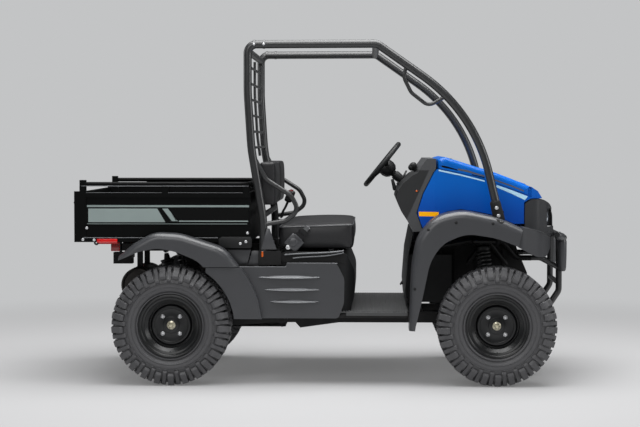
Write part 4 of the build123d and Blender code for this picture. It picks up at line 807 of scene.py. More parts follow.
def backrests():
    def held(place):
        rim = min(place.y - PAD_LOW[1], PAD_HIGH[1] - place.y, place.z - PAD_LOW[2], PAD_HIGH[2] - place.z)
        return place.x < PAD_LOW[0] + 20 or rim < 5

    def turned_over(piece, side):
        """Mirrors a piece made on the left where it belongs on the right."""
        if side == RIGHT:
            put(piece, Matrix.Scale(-1, 4, Y_AXIS)).data.flip_normals()
        return piece
    for side, where in SIDES:
        pad = round_box(f"backrest_pad_{where}", PAD_LOW, PAD_HIGH, 14, 10)
        fitted(turned_over(stuffed(pad, 6, held, 24), side), VINYL, angle=60)
        if side == RIGHT:
            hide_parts("seat_backrests")
        shell = round_box(f"backrest_shell_{where}", (PAD_LOW[0] - 2, PAD_LOW[1] + 6, PAD_LOW[2] + 4),
                          (PAD_LOW[0] + 22, PAD_HIGH[1] - 6, PAD_HIGH[2] - 8), 8, 4)
        fitted(turned_over(shell, side), BLACK_PLASTIC)


seat_cushion()
backrests()


# ---------------------------------------------------------------- cargo bed
BED_WALL_Y = 580         # outer face of the bed's side walls, between the formed bands
BED_BAND_Y = 588         # outer face of the bands
LAMP_X = REAR_AXLE_X - 275
STRIPE_DEPTH = 0.6


def bolts_at(name, places, radius, height, finish=ZINC, body="chassis"):
    """Flange bolts at (place, outward direction) pairs, as one piece."""
    flange = turned(f"{name}_flange", [(0, height * 0.35), (radius * 1.1, height * 0.35),
                                       (radius * 1.35, height * 0.15), (radius * 1.4, 0)], HUB, Z_AXIS, 20)
    head = rounded(drum(f"{name}_head", HUB, (0, 0, height), radius * 0.98, 6), radius * 0.09, 2)
    pattern = joined(f"{name}_pattern", [flange, head])
    row = [copied(pattern, f"{name}_{i}", aimed(place, outward)) for i, (place, outward) in enumerate(places)]
    bpy.data.objects.remove(pattern)
    fitted(joined(name, row), finish, body)


def on_both_sides(*places):
    """(x, y, z) places of the left side, with their mirror images, each looking outwards."""
    return [((x, side * y, z), (0, side, 0)) for side, _ in SIDES for x, y, z in places]


def side_plates(body, table):
    """Plates on both sides, from rows of (name, y, thickness, outline, rounding, its steps, finish)."""
    for side, where in SIDES:
        for name, y, depth, outline, width, segments, finish in table:
            fitted(plate(f"{name}_{where}", side * y, side * depth, outline, width, segments), finish, body)


def side_blocks(body, table):
    """Blocks on both sides, from rows of (name, corner, corner, rounding, its steps, finish)."""
    for side, where in SIDES:
        for name, low, high, width, segments, finish in table:
            low, high = ((x, side * y, z) for x, y, z in (low, high))
            fitted(block(f"{name}_{where}", low, high, width, segments), finish, body)


STRIPES = (  # name, outline (x, z), face, finish
    ("grey_panel", ((-1254, 869), (-841, 869), (-884, 942), (-1254, 942)), BED_BAND_Y, STRIPE_AND_HIGHLIGHT_GREY),
    ("slanted_grey", ((-806, 875), (-774, 875), (-827, 942), (-857, 942)), BED_BAND_Y, STRIPE_AND_HIGHLIGHT_GREY),
    ("black_field", ((-786, 880), (-398, 880), (-398, 942), (-822, 942)), BED_BAND_Y, STRIPE_BLACK),
    # painted highlight: the light on the upward face of the step above the band
    ("upper_step_highlight", ((-1262, 949), (-394, 949), (-394, 960), (-1262, 960)), BED_WALL_Y, STRIPE_AND_HIGHLIGHT_GREY),
    ("lower_line", ((-768, 872), (-398, 872), (-398, 878), (-768, 878)), BED_BAND_Y, STRIPE_AND_HIGHLIGHT_GREY),
    ("second_line", ((-1262, 858), (-404, 858), (-404, 862), (-1262, 862)), BED_WALL_Y, STRIPE_AND_HIGHLIGHT_GREY),
)
BED_HIGHLIGHT_LINES = (  # rear end, front end, y, z of the painted highlight lines along the edges of the walls and the skirt
    (-1284, -400, 581, 1026), (-1284, -560, 588.4, 786), (-1290, -396, 586, 1062))


def bed_stripes():
    for side, where in SIDES:
        for name, outline, face, finish in STRIPES:
            stripe = slab(f"{name}_{where}", at_y(side * (face + 0.1), outline), (0, side * STRIPE_DEPTH, 0))
            fitted(rounded(stripe, 0.15, 1, 60), finish, "bed")


def bed_hardware():
    wall, band = BED_WALL_Y, BED_BAND_Y
    bolts_at("bed_side_bolts", on_both_sides((-1263, band, 838), (-1284, band, 776), (-1224, band, 774),
                                             (-402, wall, 812)), 5.5, 4, body="bed")
    bolts_at("bed_bracket_bolts", on_both_sides((-440, band + 4.5, 756), (-410, band + 4.5, 766)), 5.5, 4, body="bed")
    side_plates("bed", (("bed_bracket", band + 0.5, 4, (
        (-556, 748), (-552, 731), (-384, 731), (-378, 742), (-378, 784), (-386, 792), (-540, 792), (-556, 780)),
        2.4, 2, BLACK_PLASTIC),))
    side_blocks("bed", (
        ("side_board", (-1094, 571, 1028), (-426, 576, 1062), 1.5, 2, BED_BLACK),
        ("lamp_bracket", (LAMP_X - 6, 508, 706), (LAMP_X + 2, 560, 784), 2, 1, FRAME_BLACK),
        ("side_reflector", (LAMP_X - 52, 554, 713), (LAMP_X - 8, 557.2, 758), 1.2, 2, DARK_RED_LENS),
        ("side_lamp", (LAMP_X - 123, 584, 759), (LAMP_X - 13, 592, 780), 2, 2, RED_LENS)))
    for side, where in SIDES:
        hook = tube(f"bed_hook_{where}", [(x, side * (wall + out), z) for x, out, z in (
            (-1224, -3, 772), (-1222, 2, 752), (-1206, 3, 748), (-1204, 3, 758))], 5, smooth=True)
        fitted(hook, FRAME_BLACK, "bed")
        latch = block(f"tailgate_latch_{where}", (-1333, side * 549, 946), (-1322, side * 565, 1000), 4, 3)
        knob = rounded(drum(f"latch_knob_{where}", (-1325, side * 566, 973), (-1325, side * 582, 973), 9, 20), 3, 3)
        fitted(joined(f"tailgate_latch_{where}", [latch, knob]), FRAME_BLACK, "tailgate")
        # painted highlight: thin light grey lines along the bed's edges
        edges = [tube(f"wall_highlight_{i}", [(rear, side * y, z), (front, side * y, z)], 1.8, sides=3)
                 for i, (rear, front, y, z) in enumerate(BED_HIGHLIGHT_LINES)]
        fitted(joined(f"bed_highlight_lines_{where}", edges), HIGHLIGHT_GREY, "bed")
    # ribs pressed into the load floor
    ribs = [block(f"floor_rib_{i}", (-1290, y - 14, 808), (-430, y + 14, 814), 5)
            for i, y in enumerate(range(-480, 481, 120))]
    fitted(joined("bed_floor_ribs", ribs), BED_BLACK, "bed")


bed_stripes()
bed_hardware()


# ---------------------------------------------------------------- nose
CLEAR_Y = 900            # well outside the body, where pieces start that are laid on it
SKIN = 0.5               # thickness of the stripes and pads laid on the panels


def skin(name, upper, lower, side, node):
    """A thin strip between two lines of (x, z) places, laid on a panel of the frame from its side."""
    strip = joined(name, [wire(f"{name}_{i}", [mm(x, side * CLEAR_Y, z) for x, z in line])
                          for i, line in enumerate((upper, lower))])
    with shaping(strip):
        bpy.ops.mesh.bridge_edge_loops()
        bpy.ops.mesh.select_all(action="SELECT")
        bpy.ops.mesh.subdivide(number_cuts=3)
        bpy.ops.mesh.normals_make_consistent(inside=False)
    modified(strip, "SHRINKWRAP", target=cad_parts[node], wrap_method="PROJECT", use_project_y=True,
             use_positive_direction=side == RIGHT, use_negative_direction=side == LEFT, offset=SKIN / 1000,
             wrap_mode="ABOVE_SURFACE")
    with shaping(strip):
        # corners that found no panel are dropped
        pick("verts", lambda v: abs(v.co.y) > 0.8)
        bpy.ops.mesh.delete(type="VERT")
        bpy.ops.mesh.select_all(action="SELECT")
        bpy.ops.mesh.normals_make_consistent(inside=False)
    if side * sum((p.normal.y for p in strip.data.polygons), 0.0) < 0:
        strip.data.flip_normals()
    return modified(strip, "SOLIDIFY", thickness=SKIN / 1000, offset=-1)


NOSE_STRIPES = (  # name, upper line, lower line, panel, body, finish
    # the two pale blue rows are painted highlight: the light reflected along the cowl's ridge and top chamfer
    ("cowl_highlight_line", ((620, 1150), (736, 1125), (868, 1091)), ((620, 1141), (736, 1117), (870, 1083)),
     "hood_cowl", "chassis", PAINTED_HIGHLIGHT_BLUE),
    ("cowl_highlight_wedge", ((934, 1066), (1010, 1040), (1104, 1004)), ((932, 1054), (1012, 1020), (1088, 984)),
     "hood_cowl", "chassis", PAINTED_HIGHLIGHT_BLUE),
    ("lid_dark_sweep", ((628, 1174), (670, 1165), (720, 1150)), ((628, 1164), (672, 1155), (724, 1144)), "hood_lid",
     "hood", STRIPE_BLACK),
    ("lid_grey_sweep", ((724, 1155), (776, 1146), (820, 1131), (868, 1117)),
     ((724, 1146), (778, 1135), (822, 1122), (870, 1110)), "hood_lid", "hood", TAUPE),
    ("lid_dark_tail", ((800, 1123.5), (836, 1116), (868, 1108)), ((800, 1120), (836, 1111), (868, 1103)), "hood_lid",
     "hood", STRIPE_BLACK),
    ("lid_dark_line", ((924, 1096), (1010, 1066), (1106, 1028)), ((926, 1088), (1012, 1058), (1106, 1020)),
     "hood_lid", "hood", TAUPE),
    ("orange_bar", ((514, 923), (570, 922), (621, 921)), ((516, 899), (570, 898), (619, 897)), "hood_cowl", "chassis",
     GLOWING_ORANGE),
)
SEAM = ((622, 1150), (700, 1136), (811, 1112), (886, 1088), (960, 1062), (1040, 1031), (1106, 1006))


def nose_details():
    """Stripes, painted highlight strips along the cowl, latches, hinge covers, and the painted walls behind the gap
    between the cowl and the lid.
    """
    for side, where in SIDES:
        for name, upper, lower, node, body, finish in NOSE_STRIPES:
            fitted(skin(f"{name}_{where}", upper, lower, side, node), finish, body)
        strap = block(f"hood_latch_{where}", (660, side * 396, 1186), (704, side * 424, 1203), 6, 3)
        knob = rounded(drum("latch_button", (684, side * 410, 1199), (684, side * 410, 1209), 9, 20), 3, 3)
        fitted(joined(f"hood_latch_{where}", [strap, knob]), BLACK_PLASTIC, "hood")
        cover = plate(f"hinge_cover_{where}", side * 180 - 34, 68, (
            (1064, 1074), (1070, 1080), (1104, 1068), (1112, 1064), (1112, 1058), (1090, 1064)), 4, 3)
        fitted(cover, BLUE, "hood")
        wall = joined(f"seam_wall_{where}", [wire(f"seam_line_{i}", [
            mm(x, side * (477 - 0.126 * (x - 600)), z + rise) for x, z in SEAM]) for i, rise in enumerate((-12, 30))])
        with shaping(wall):
            bpy.ops.mesh.bridge_edge_loops()
        fitted(welded(modified(wall, "SOLIDIFY", thickness=0.0015, offset=0)), BLUE)


def headlamps():
    """Clear lens, chrome bowl and dark surround in each opening of the front end."""
    low, high = (corner * 1000 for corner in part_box("headlamps"))
    y0, y1 = 238, 370
    z0, z1 = low.z + 1, high.z - 1
    x0, x1 = 1152, high.x - 8
    for side, where in SIDES:
        housing = slab(f"lamp_housing_{where}", [(x, side * y, z0) for x, y in (
            (x0, y0), (x1 - 6, y0), (x1 - 24, 262), (x1 - 62, y1), (x0, y1))], (0, 0, z1 - z0))
        bowl = turned(f"lamp_bowl_{where}", [(39, 6), (36, 5), (32, 0), (24, -5), (12, -8), (0, -9)], HUB, Z_AXIS, 40)
        modified(bowl, "SOLIDIFY", thickness=0.0015, offset=-1)
        bulb = turned(f"lamp_bulb_{where}", [(0, 14), (5, 12), (7, 6), (7, -6)], HUB, Z_AXIS, 20)
        for part in (bowl, bulb):
            put(part, aimed((x1 - 36, side * 306, (z0 + z1) / 2), Vector((0.86, side * 0.5, 0)).normalized()))
        glass = slab(f"lamp_lens_{where}", [(x1 + x, side * y, z0 + 3) for x, y in (
            (-5, y0 + 3), (-1, y0 + 3), (-18, 264), (-54, y1 - 4), (-59, y1 - 4), (-23, 262))], (0, 0, z1 - z0 - 6))
        fitted(rounded(housing, 3, 2), NEAR_BLACK_AND_SHADE, stands_for=("headlamps",) if side == RIGHT else ())
        fitted(joined(f"lamp_reflector_{where}", [bowl, bulb]), MIRROR)
        fitted(rounded(glass, 1.5, 2), LAMP_GLASS)


def grille():
    """Bars across the openings between the lamps, the screen behind them, and the dark walls inside."""
    bars = [block(f"grille_bar_{z}", (1206, -196, z), (1210, 196, z + 3), 1, 1) for z in range(795, 916, 30)]
    bars += [block(f"grille_upright_{y}", (1202, y - 1.5, 786), (1206, y + 1.5, 928), 1, 1)
             for y in range(-182, 183, 28)]
    fitted(joined("grille_screen", bars), BLACK_PLASTIC)
    cheeks = [block("grille_backing", (1186, -206, 778), (1190, 206, 934), 1, 1)]
    cheeks += [block(f"lamp_cheek_{side}", (1156, side * 230, 836), (1251, side * 234, 938), 1, 1)
               for side, _ in SIDES]
    fitted(joined("lamp_cheeks", cheeks), NEAR_BLACK_AND_SHADE)


def seat_on(node, x, z, side):
    """The place on a panel's outer side at x and z in millimetres, and the way it faces there."""
    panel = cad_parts[node]
    carry = panel.matrix_world
    back = carry.inverted()
    _, place, normal, _ = panel.ray_cast(back @ mm(x, side * CLEAR_Y, z), back.to_3x3() @ Vector((0, -side, 0)))
    return carry @ place * 1000, carry.to_3x3() @ normal


nose_details()
headlamps()
grille()
bolts_at("fender_screws", [seat_on(f"front_fender_{where}", x, z, side) for side, where in SIDES
                           for x, z in ((560, 835), (706, 872), (900, 868), (489, 520))], 6, 3, BLACK_PLASTIC)




# ---------------------------------------------------------------- suspension and steering
KINGPIN_LOW = (930, 478, 200)
KINGPIN_HIGH = (861, 379, 735)
SPRING_RADIUS = 36
SPRING_WIRE = 5.6
ARM_Z = 425              # height of the arms from the uprights to the rack
COIL_STEPS = 20          # places to a turn of a spring
COIL_TAIL = 0.6          # how much the last turns are drawn together


def spring(name, start, end, radius, wire_radius, turns):
    """A coil about a line, its last turns drawn together."""
    run = end - start
    out = run.orthogonal().normalized()
    across = run.normalized().cross(out)
    count = int(turns * COIL_STEPS)
    points = []
    for i in range(count + 1):
        share = i / count
        climb = share - COIL_TAIL / (FULL_TURN * turns) * math.sin(FULL_TURN * share)
        angle = FULL_TURN * turns * share
        points.append(start + run * climb + (out * math.cos(angle) + across * math.sin(angle)) * radius)
    return tube(name, points, wire_radius, sides=3)


def spool(name, start, end, profile):
    """A turned piece on the line between two places: (share of the way, radius) pairs."""
    start, end = Vector(start), Vector(end)
    run = end - start
    return turned(name, [(radius, share * run.length) for share, radius in profile], start, run, 32)


def front_strut(side, where):
    body = f"knuckle_{where}"
    low, high = (Vector((x, side * y, z)) for x, y, z in (KINGPIN_LOW, KINGPIN_HIGH))
    along = (high - low).normalized()
    length = (high - low).length

    def at(distance):
        return low + along * distance
    damper = spool(f"strut_body_{where}", at(18), at(length - 2), (
        (0, 0), (0, 16), (0.02, 24), (0.34, 24), (0.36, 21), (0.66, 21), (0.68, 26), (0.685, 40), (0.70, 40),
        (0.705, 24), (0.80, 22), (0.81, 10), (0.90, 10), (0.91, 20), (0.94, 34), (0.97, 41), (0.985, 41), (1.0, 30),
        (1.0, 0)))
    collar = rounded(spool(f"strut_collar_{where}", at(150), at(190), ((0, 20), (0, 30), (1, 30), (1, 20))), 3, 2)
    fitted(joined(f"front_strut_{where}", [damper, collar]), FRAME_BLACK, body, stands_for=(body,))
    fitted(spring(f"front_spring_{where}", at(length * 0.70 + 4), at(length * 0.95), SPRING_RADIUS, SPRING_WIRE, 6.5),
           CAGE_BLACK, body, angle=80)
    fitted(spool(f"strut_nut_{where}", at(length - 4), at(length + 1), ((0, 12), (1, 11), (1, 0))), YELLOW_ZINC, body)
    # upright with its clamp, the spindle and the arm to the steering rack
    centre = at((AXLE_Z - low.z) / along.z)
    clamp = block(f"upright_{where}", (centre.x - 28, centre.y - 20, AXLE_Z - 62),
                  (centre.x + 28, centre.y + 20, AXLE_Z + 58), 14, 3)
    boss, spindle = (spool(f"{name}_{where}", (FRONT_AXLE_X, start, AXLE_Z), (FRONT_AXLE_X, side * end, AXLE_Z),
                           profile) for name, start, end, profile in (
        ("spindle_boss", centre.y, 503, ((0, 0), (0, 34), (0.8, 34), (1, 30), (1, 0))),
        ("spindle", side * 495, 582, ((0, 0), (0, 17.8), (1, 17.8), (1, 0)))))
    eye_x, eye_y = 812, side * 430
    arm = tube(f"steering_arm_{where}", [at((ARM_Z - low.z) / along.z), (860, side * 440, ARM_Z),
                                         (eye_x, eye_y, ARM_Z)], 11, smooth=True)
    eye = rounded(drum(f"steering_eye_{where}", (eye_x, eye_y, ARM_Z - 11), (eye_x, eye_y, ARM_Z + 11), 14, 24), 3, 2)
    fitted(joined(f"front_upright_{where}", [clamp, boss, spindle, arm, eye]), IRON, body)


def rear_shock(side, where):
    low, high = (corner * 1000 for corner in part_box("rear_shocks"))
    y = side * (high.y - 33)
    foot = Vector((REAR_AXLE_X - 4, y, low.z + 16))
    top = Vector((REAR_AXLE_X - 51, y, high.z - 3))
    damper = spool(f"shock_body_{where}", foot, top, (
        (0, 0), (0, 14), (0.03, 16), (0.08, 22), (0.11, 36), (0.13, 36), (0.14, 17), (0.52, 17), (0.53, 7), (0.8, 7),
        (0.81, 24), (0.87, 38), (0.89, 38), (0.9, 18), (0.97, 14), (1.0, 11), (1.0, 0)))
    half = Y_AXIS * 16
    eye = rounded(drum(f"shock_eye_{where}", foot - half, foot + half, 15, 24), 3, 2)
    fitted(joined(f"rear_shock_{where}", [damper, eye]), FRAME_BLACK,
           stands_for=("rear_shocks",) if side == RIGHT else ())
    run = top - foot
    fitted(spring(f"rear_spring_{where}", foot + run * 0.135, foot + run * 0.865, 31, 5.5, 8), CAGE_BLACK, angle=80)


for pair in SIDES:
    front_strut(*pair)
    rear_shock(*pair)


# ---------------------------------------------------------------- seat belts
BELT_Y = 531             # middle of the retractors
BUCKLE_Y = 62            # middle of the inner buckles
TILT, BUCKLE_TILT = 42, 20      # lean of the belts' hardware and of the buckles, in degrees
BELT_BLOCKS = (  # name, (x, half width, z) of two corners, rounding, its steps
    ("belt_retractor", (-196, -20, 720), (-114, 20, 794), 8, 3),
    ("belt_lip", (-184, -23, 788), (-130, 23, 798), 4, 2),
    ("belt_stalk", (-184, -12, 700), (-160, 12, 742), 3, 2),
    ("belt_strap", (-180, -1.2, 796), (-134, 1.2, 828), 0.5, 1),
    ("belt_tongue", (-183, -5, 822), (-131, 5, 848), 3, 2),
    ("tongue_plate", (-171, -1.3, 842), (-143, 1.3, 873), 1, 1),
    ("belt_buckle", (-223, -14, 958), (-181, 14, 1024), 11, 3),
    ("buckle_button", (-214, -9, 1021), (-196, 9, 1028), 2, 2),
)


def seat_belts():
    for side, where in SIDES:
        inner, outer = side * BUCKLE_Y, side * BELT_Y
        made = {}
        for name, low, high, width, segments in BELT_BLOCKS:
            y = inner if "buckle" in name else outer
            made[name] = block(f"{name}_{where}", (low[0], y + low[1], low[2]), (high[0], y + high[1], high[2]),
                               width, segments)
        cap = turned(f"belt_spool_{where}", [(0, 5), (18, 5), (22, 3), (24, 0)], HUB, Z_AXIS, 32)
        put(cap, aimed((-160, outer + side * 18.5, 756), (0, side, 0)))
        case = joined(f"belt_retractor_{where}", [made["belt_retractor"], cap, made["belt_lip"]])
        for piece in (case, made["belt_strap"], made["belt_tongue"], made["tongue_plate"]):
            put(piece, turn_about((-156, outer, 758), Y_AXIS, TILT))
        for piece in (made["belt_buckle"], made["buckle_button"]):
            put(piece, turn_about((-202, inner, 992), Y_AXIS, BUCKLE_TILT))
        # the buckle is held up by its stiff cable in front of the backrest
        cable = tube(f"buckle_cable_{where}", at_y(inner, ((-250, 868), (-246, 900), (-226, 930), (-212, 966))), 5,
                     smooth=True)
        fitted(case, GREY_PLASTIC, stands_for=("seat_belts",) if side == RIGHT else ())
        for piece, finish in ((made["belt_stalk"], FRAME_BLACK), (made["belt_strap"], WEBBING),
                              (made["belt_tongue"], BLACK_PLASTIC), (made["tongue_plate"], STEEL),
                              (joined(f"belt_buckle_{where}", [made["belt_buckle"], cable]), BLACK_PLASTIC),
                              (made["buckle_button"], DARK_RED_LENS)):
            fitted(piece, finish)
    bolts_at("belt_anchor_bolts", on_both_sides((-187, BELT_Y + 19, 733)), 9, 5)


seat_belts()


# ---------------------------------------------------------------- body panels and cage details
COVER_Y = 606
RIB_LINES = ((-341, -14, 577), (-309, -20, 511), (-278, -22, 447))      # rear end, front end, height
LINER_CREASES = ((640, 500, 850), (720, 470, 880), (840, 520, 880), (985, 520, 820))    # x, foot, top
CLAMP_RING = ((22.1, -7), (23.6, -6), (23.6, 6), (22.1, 7))
BODY_PLATES = (  # name, y, thickness, outline, rounding, its steps, finish
    # The first row is a near-black sheet of painted shade in the recess round the amber reflector; the seat pan row is
    # the seat's base, made near-black as painted shade of the gap behind the side cover.
    ("recess_shade_sheet", 583, 2, ((-344, 640), (-344, 716), (-222, 716), (-222, 640)), 1, 1, NEAR_BLACK_AND_SHADE),
    ("cage_gusset", 578, 6, ((-330, 724), (-300, 836), (-284, 836), (-246, 724)), 2.5, 2, GREY_PLASTIC),
    ("seat_pan", 562, 2, ((-220, 652), (-224, 700), (-200, 712), (96, 712), (112, 700), (118, 652)), 0.8, 1,
     NEAR_BLACK_AND_SHADE),
)
# Both rows are in the painted highlight grey: the pan beads for the light lines on the pipes under the seat, the cover
# lines for the light along the side cover's top edges.
BEADS = (  # name, y, (line, radius) pairs, whether the line is smooth
    ("pan_beads", 566, ((((-205, 694), (-160, 700), (40, 706), (112, 716)), 4),
                        (((-160, 676), (-120, 682), (40, 688), (112, 706)), 3.4)), dict(smooth=True)),
    ("cover_edge_highlights", 603.5, ((((-560, 632), (-200, 632), (-193, 638)), 2.6),
                            (((-190, 651.5), (78, 651.5)), 2.6)), dict(sides=3)),
)


def cover_rib(i, side, rear, front, height):
    """A rib pressed in the side cover, which dies away into the panel at both ends."""
    y = side * COVER_Y
    rib = slab(f"cover_rib_{i}", [(rear, y + side * out, height + rise) for out, rise in (
        (-2, 10), (1, 9), (15, -4), (14, -7), (-2, -10))], (front - rear, 0, 0))
    with shaping(rib):
        pick("edges", lambda e: abs((e.verts[0].co - e.verts[1].co).normalized().x) > 0.9)
        bpy.ops.mesh.subdivide(number_cuts=11)
    for v in rib.data.vertices:
        share = max(0.0, min(v.co.x * 1000 - rear, front - v.co.x * 1000)) / (front - rear) * 2
        full = min(1.0, share * 1.25) ** 0.6
        v.co.y = (y + (v.co.y * 1000 - y) * (0.1 + 0.9 * full)) / 1000
        v.co.z = (height + (v.co.z * 1000 - height) * (0.15 + 0.85 * full)) / 1000
    return rounded(rib, 0.8, 2, 30)


def cage_foot(side, where):
    """Sleeve over the foot of the cage, standing on the nose of the body, and the pad under it."""
    sleeve = spool(f"cage_foot_{where}", (FRONT_AXLE_X + 17, side * 560, 868), (FRONT_AXLE_X - 12, side * 560, 985), (
        (0, 0), (0, 18), (0.04, 26), (0.12, 30), (0.3, 31), (0.9, 28.5), (0.97, 26), (1.0, 22.2), (1.0, 0)))
    fitted(sleeve, NEAR_BLACK_AND_SHADE, angle=30)
    fitted(skin(f"foot_pad_{where}", ((914, 905), (940, 905), (972, 898)), ((922, 878), (944, 864), (966, 876)), side,
                f"front_fender_{where}"), NEAR_BLACK_AND_SHADE)


def body_details():
    """Splash panels inboard of the front wheels, panels round the rear fenders, ribs and beads."""
    side_plates("chassis", BODY_PLATES)
    side_blocks("chassis", (("amber_reflector", (-327, 584.5, 685), (-318, 587, 713), 1, 1, AMBER_LENS),))
    for side, where in SIDES:
        cage_foot(side, where)
        ribs = [cover_rib(i, side, *line) for i, line in enumerate(RIB_LINES)]
        # the ribs are real; their lighter grey is painted highlight where their upper faces catch the overhead light
        fitted(joined(f"cover_ribs_{where}", ribs), HIGHLIGHT_GREY, angle=30)
        liner = [plate(f"front_liner_{where}", side * 246, side * 4, (
            (540, 432), (540, 800), (600, 868), (760, 905), (930, 880), (1040, 800), (1060, 715), (1118, 577),
            (1100, 470), (1010, 432)), 1.5)]
        liner += [block(f"liner_crease_{i}", (x - 7, side * 248 - 4, foot), (x + 7, side * 255 - 1, top), 3)
                  for i, (x, foot, top) in enumerate(LINER_CREASES)]
        fitted(joined(f"front_liner_{where}", liner), NEAR_BLACK_AND_SHADE)
        inner = [plate(f"{name}_{where}", side * y, side * 4, outline, 1.5) for name, y, outline in (
            ("rear_inner_panel", 560, ((-512, 722), (-384, 722), (-404, 650), (-470, 640))),
            ("rear_inner_step", 556, ((-380, 716), (-342, 716), (-330, 640), (-400, 640))))]
        fitted(joined(f"rear_inner_panel_{where}", inner), GREY_PLASTIC)
        for name, y, lines, settings in BEADS:
            fitted(joined(f"{name}_{where}", [tube(f"{name}_{i}", at_y(side * y, line), radius, **settings)
                                              for i, (line, radius) in enumerate(lines)]), HIGHLIGHT_GREY)
        # painted wall behind the gap between the lid and the cap
        wall = slab(f"seam_wall_{where}", [(x, side * y, z) for x, y, z in (
            (1106, 412, 1004), (1132, 408, 996), (1132, 408, 1040), (1106, 412, 1048))], (0, -side * 2, 0))
        fitted(rounded(wall, 0.6, 1), BLUE)


def cage_details():
    """Bolts through the feet of the cage, clamps where its halves meet, and pads on the front guard."""
    bolts_at("cage_foot_bolts", on_both_sides((924, 589, 948), (934, 590.5, 906)), 7, 4)
    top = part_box("cage_rear")[1].z * 1000 - 22
    guard_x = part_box("front_guard")[1].x * 1000
    places = []
    for side, where in SIDES:
        for shift in (-26, 26):
            x = REAR_AXLE_X + 471 + shift
            fitted(ring(f"cage_clamp_{side}_{shift}", (x, side * 560, top), X_AXIS, CLAMP_RING, 32), CAGE_BLACK)
            places.append(((x, side * 584, top), (0, side, 0)))
        upright = spool(f"guard_pad_{where}", (guard_x - 27, side * 262, 588), (guard_x - 27, side * 262, 772), (
            (0, 0), (0, 16), (0.04, 21), (0.12, 23.5), (0.5, 25), (0.88, 25), (0.96, 22), (1, 16), (1, 0)))
        grip = spool(f"guard_grip_{where}", (guard_x - 62, side * 330, 789), (guard_x - 24, side * 276, 774), (
            (0, 0), (0, 16), (0.06, 20), (0.2, 22), (0.8, 22), (0.94, 20), (1, 16), (1, 0)))
        fitted(joined(f"guard_pads_{where}", [upright, grip]), GREY_PLASTIC)
    bolts_at("cage_clamp_bolts", places, 5, 4)


body_details()
cage_details()


# ---------------------------------------------------------------- cab
WHEEL_CENTRE = Vector((323, 280, 1169))
COLUMN_TILT = 39         # of the column over the floor, in degrees
SPOKE_ANGLES = (70, 180, 290)
DASH_TILT = Vector((-0.9, 0, 0.44))      # faces of the dashboard's fittings
SWITCH_TILT = Vector((-0.85, 0, 0.52))
PEDAL_TILT = Vector((-0.82, 0, 0.57))
GAUGE_PLACE = (446, 280, 1093)
TREADS, TREAD_PITCH = 26, 14


def steering():
    """Grip, three spokes and hub pad of the wheel, and the shroud of its column with the ignition's barrel."""
    tilt = math.radians(COLUMN_TILT)
    up = Vector((-math.cos(tilt), 0, math.sin(tilt)))
    place = Matrix.Translation(WHEEL_CENTRE / 1000) @ up.to_track_quat("Z", "X").to_matrix().to_4x4()
    grip = ring("steering_grip", HUB, Z_AXIS, [
        (149 + 14.5 * math.cos(math.radians(a)), 14.5 * math.sin(math.radians(a))) for a in range(0, 360, 24)], 96)
    hub = turned("wheel_hub", [(0, 4), (28, 3), (40, -4), (49, -18), (50, -44), (44, -64), (30, -78), (14, -84),
                               (10, -84), (10, -150), (0, -150)], HUB, Z_AXIS, 48)
    spokes = [put(rounded(slab(f"spoke_{angle}", [(26, -17, -18), (26, 17, -18), (90, 11, -6), (146, 12, -2),
                                                  (146, -12, -2), (90, -11, -6)], (0, 0, -8)), 3, 2),
                  Matrix.Rotation(math.radians(angle), 4, Z_AXIS)) for angle in SPOKE_ANGLES]
    wheel = put(joined("steering_wheel_dressed", [grip, hub] + spokes), place)
    fitted(wheel, BLACK_PLASTIC, "handwheel", stands_for=("steering_wheel",), angle=50)
    pad = put(turned("horn_pad", [(0, 8), (18, 7.4), (24, 5), (25, 2.6)], HUB, Z_AXIS, 40), place)
    fitted(pad, GREY_PLASTIC, "handwheel", angle=50)
    shroud = welded(spool("column_shroud", WHEEL_CENTRE - up * 92, WHEEL_CENTRE - up * 150, (
        (0, 20.4), (0, 25), (0.1, 27), (0.6, 26), (1, 24), (1, 20.4))))
    fitted(shroud, BLACK_PLASTIC, angle=50)
    fitted(rounded(drum("ignition_barrel", (404, 340, 1108), (392, 340, 1120), 13, 24), 2, 2), STEEL)


def dash_details():
    """Gauge, switches, reflector, parking lever and gear lever of the dashboard."""
    gauge = turned("gauge_ring", [(0, 2), (36, 2), (38, 6), (42, 6), (44, 3), (44, -4)], HUB, Z_AXIS, 48)
    fitted(put(gauge, aimed(GAUGE_PLACE, DASH_TILT)), BLACK_PLASTIC, angle=30)
    glass = modified(turned("gauge_glass", [(0, 3.4), (36, 3)], HUB, Z_AXIS, 48), "SOLIDIFY", thickness=0.0008,
                     offset=-1)
    fitted(put(glass, aimed(GAUGE_PLACE, DASH_TILT)), DARK_GLASS)
    switches = [put(block(f"dash_switch_{y}", (-11, -9, -2), (11, 9, 7), 2.5, 3), aimed((411, y, 1064), SWITCH_TILT))
                for y in (-130, -90, -50, 0, 40)]
    fitted(joined("dash_switches", switches), NEAR_BLACK_AND_SHADE)
    fitted(rounded(drum("dash_reflector", (502, -486, 1034.6), (502, -489, 1034.6), 5, 20), 0.8, 1), AMBER_LENS)
    fitted(plate("park_lever", 205, 20, ((372, 1082), (388, 1086), (404, 1040), (396, 1016), (384, 1020)), 4),
           BLACK_PLASTIC)
    knob = spool("gear_knob", (505, 0, 1140), (488, 0, 1182), (
        (0, 0), (0, 8), (0.15, 15), (0.45, 21), (0.75, 21), (0.92, 14), (1, 5), (1, 0)))
    fitted(knob, BLACK_PLASTIC, angle=60)
    boot = turned("lever_boot", [(9, 18), (13, 14), (11, 11), (16, 7), (14, 4), (21, 0)], HUB, Z_AXIS, 28)
    fitted(modified(put(boot, aimed((512, 0, 1141), DASH_TILT)), "SOLIDIFY", thickness=0.0015, offset=-1),
           BLACK_PLASTIC)


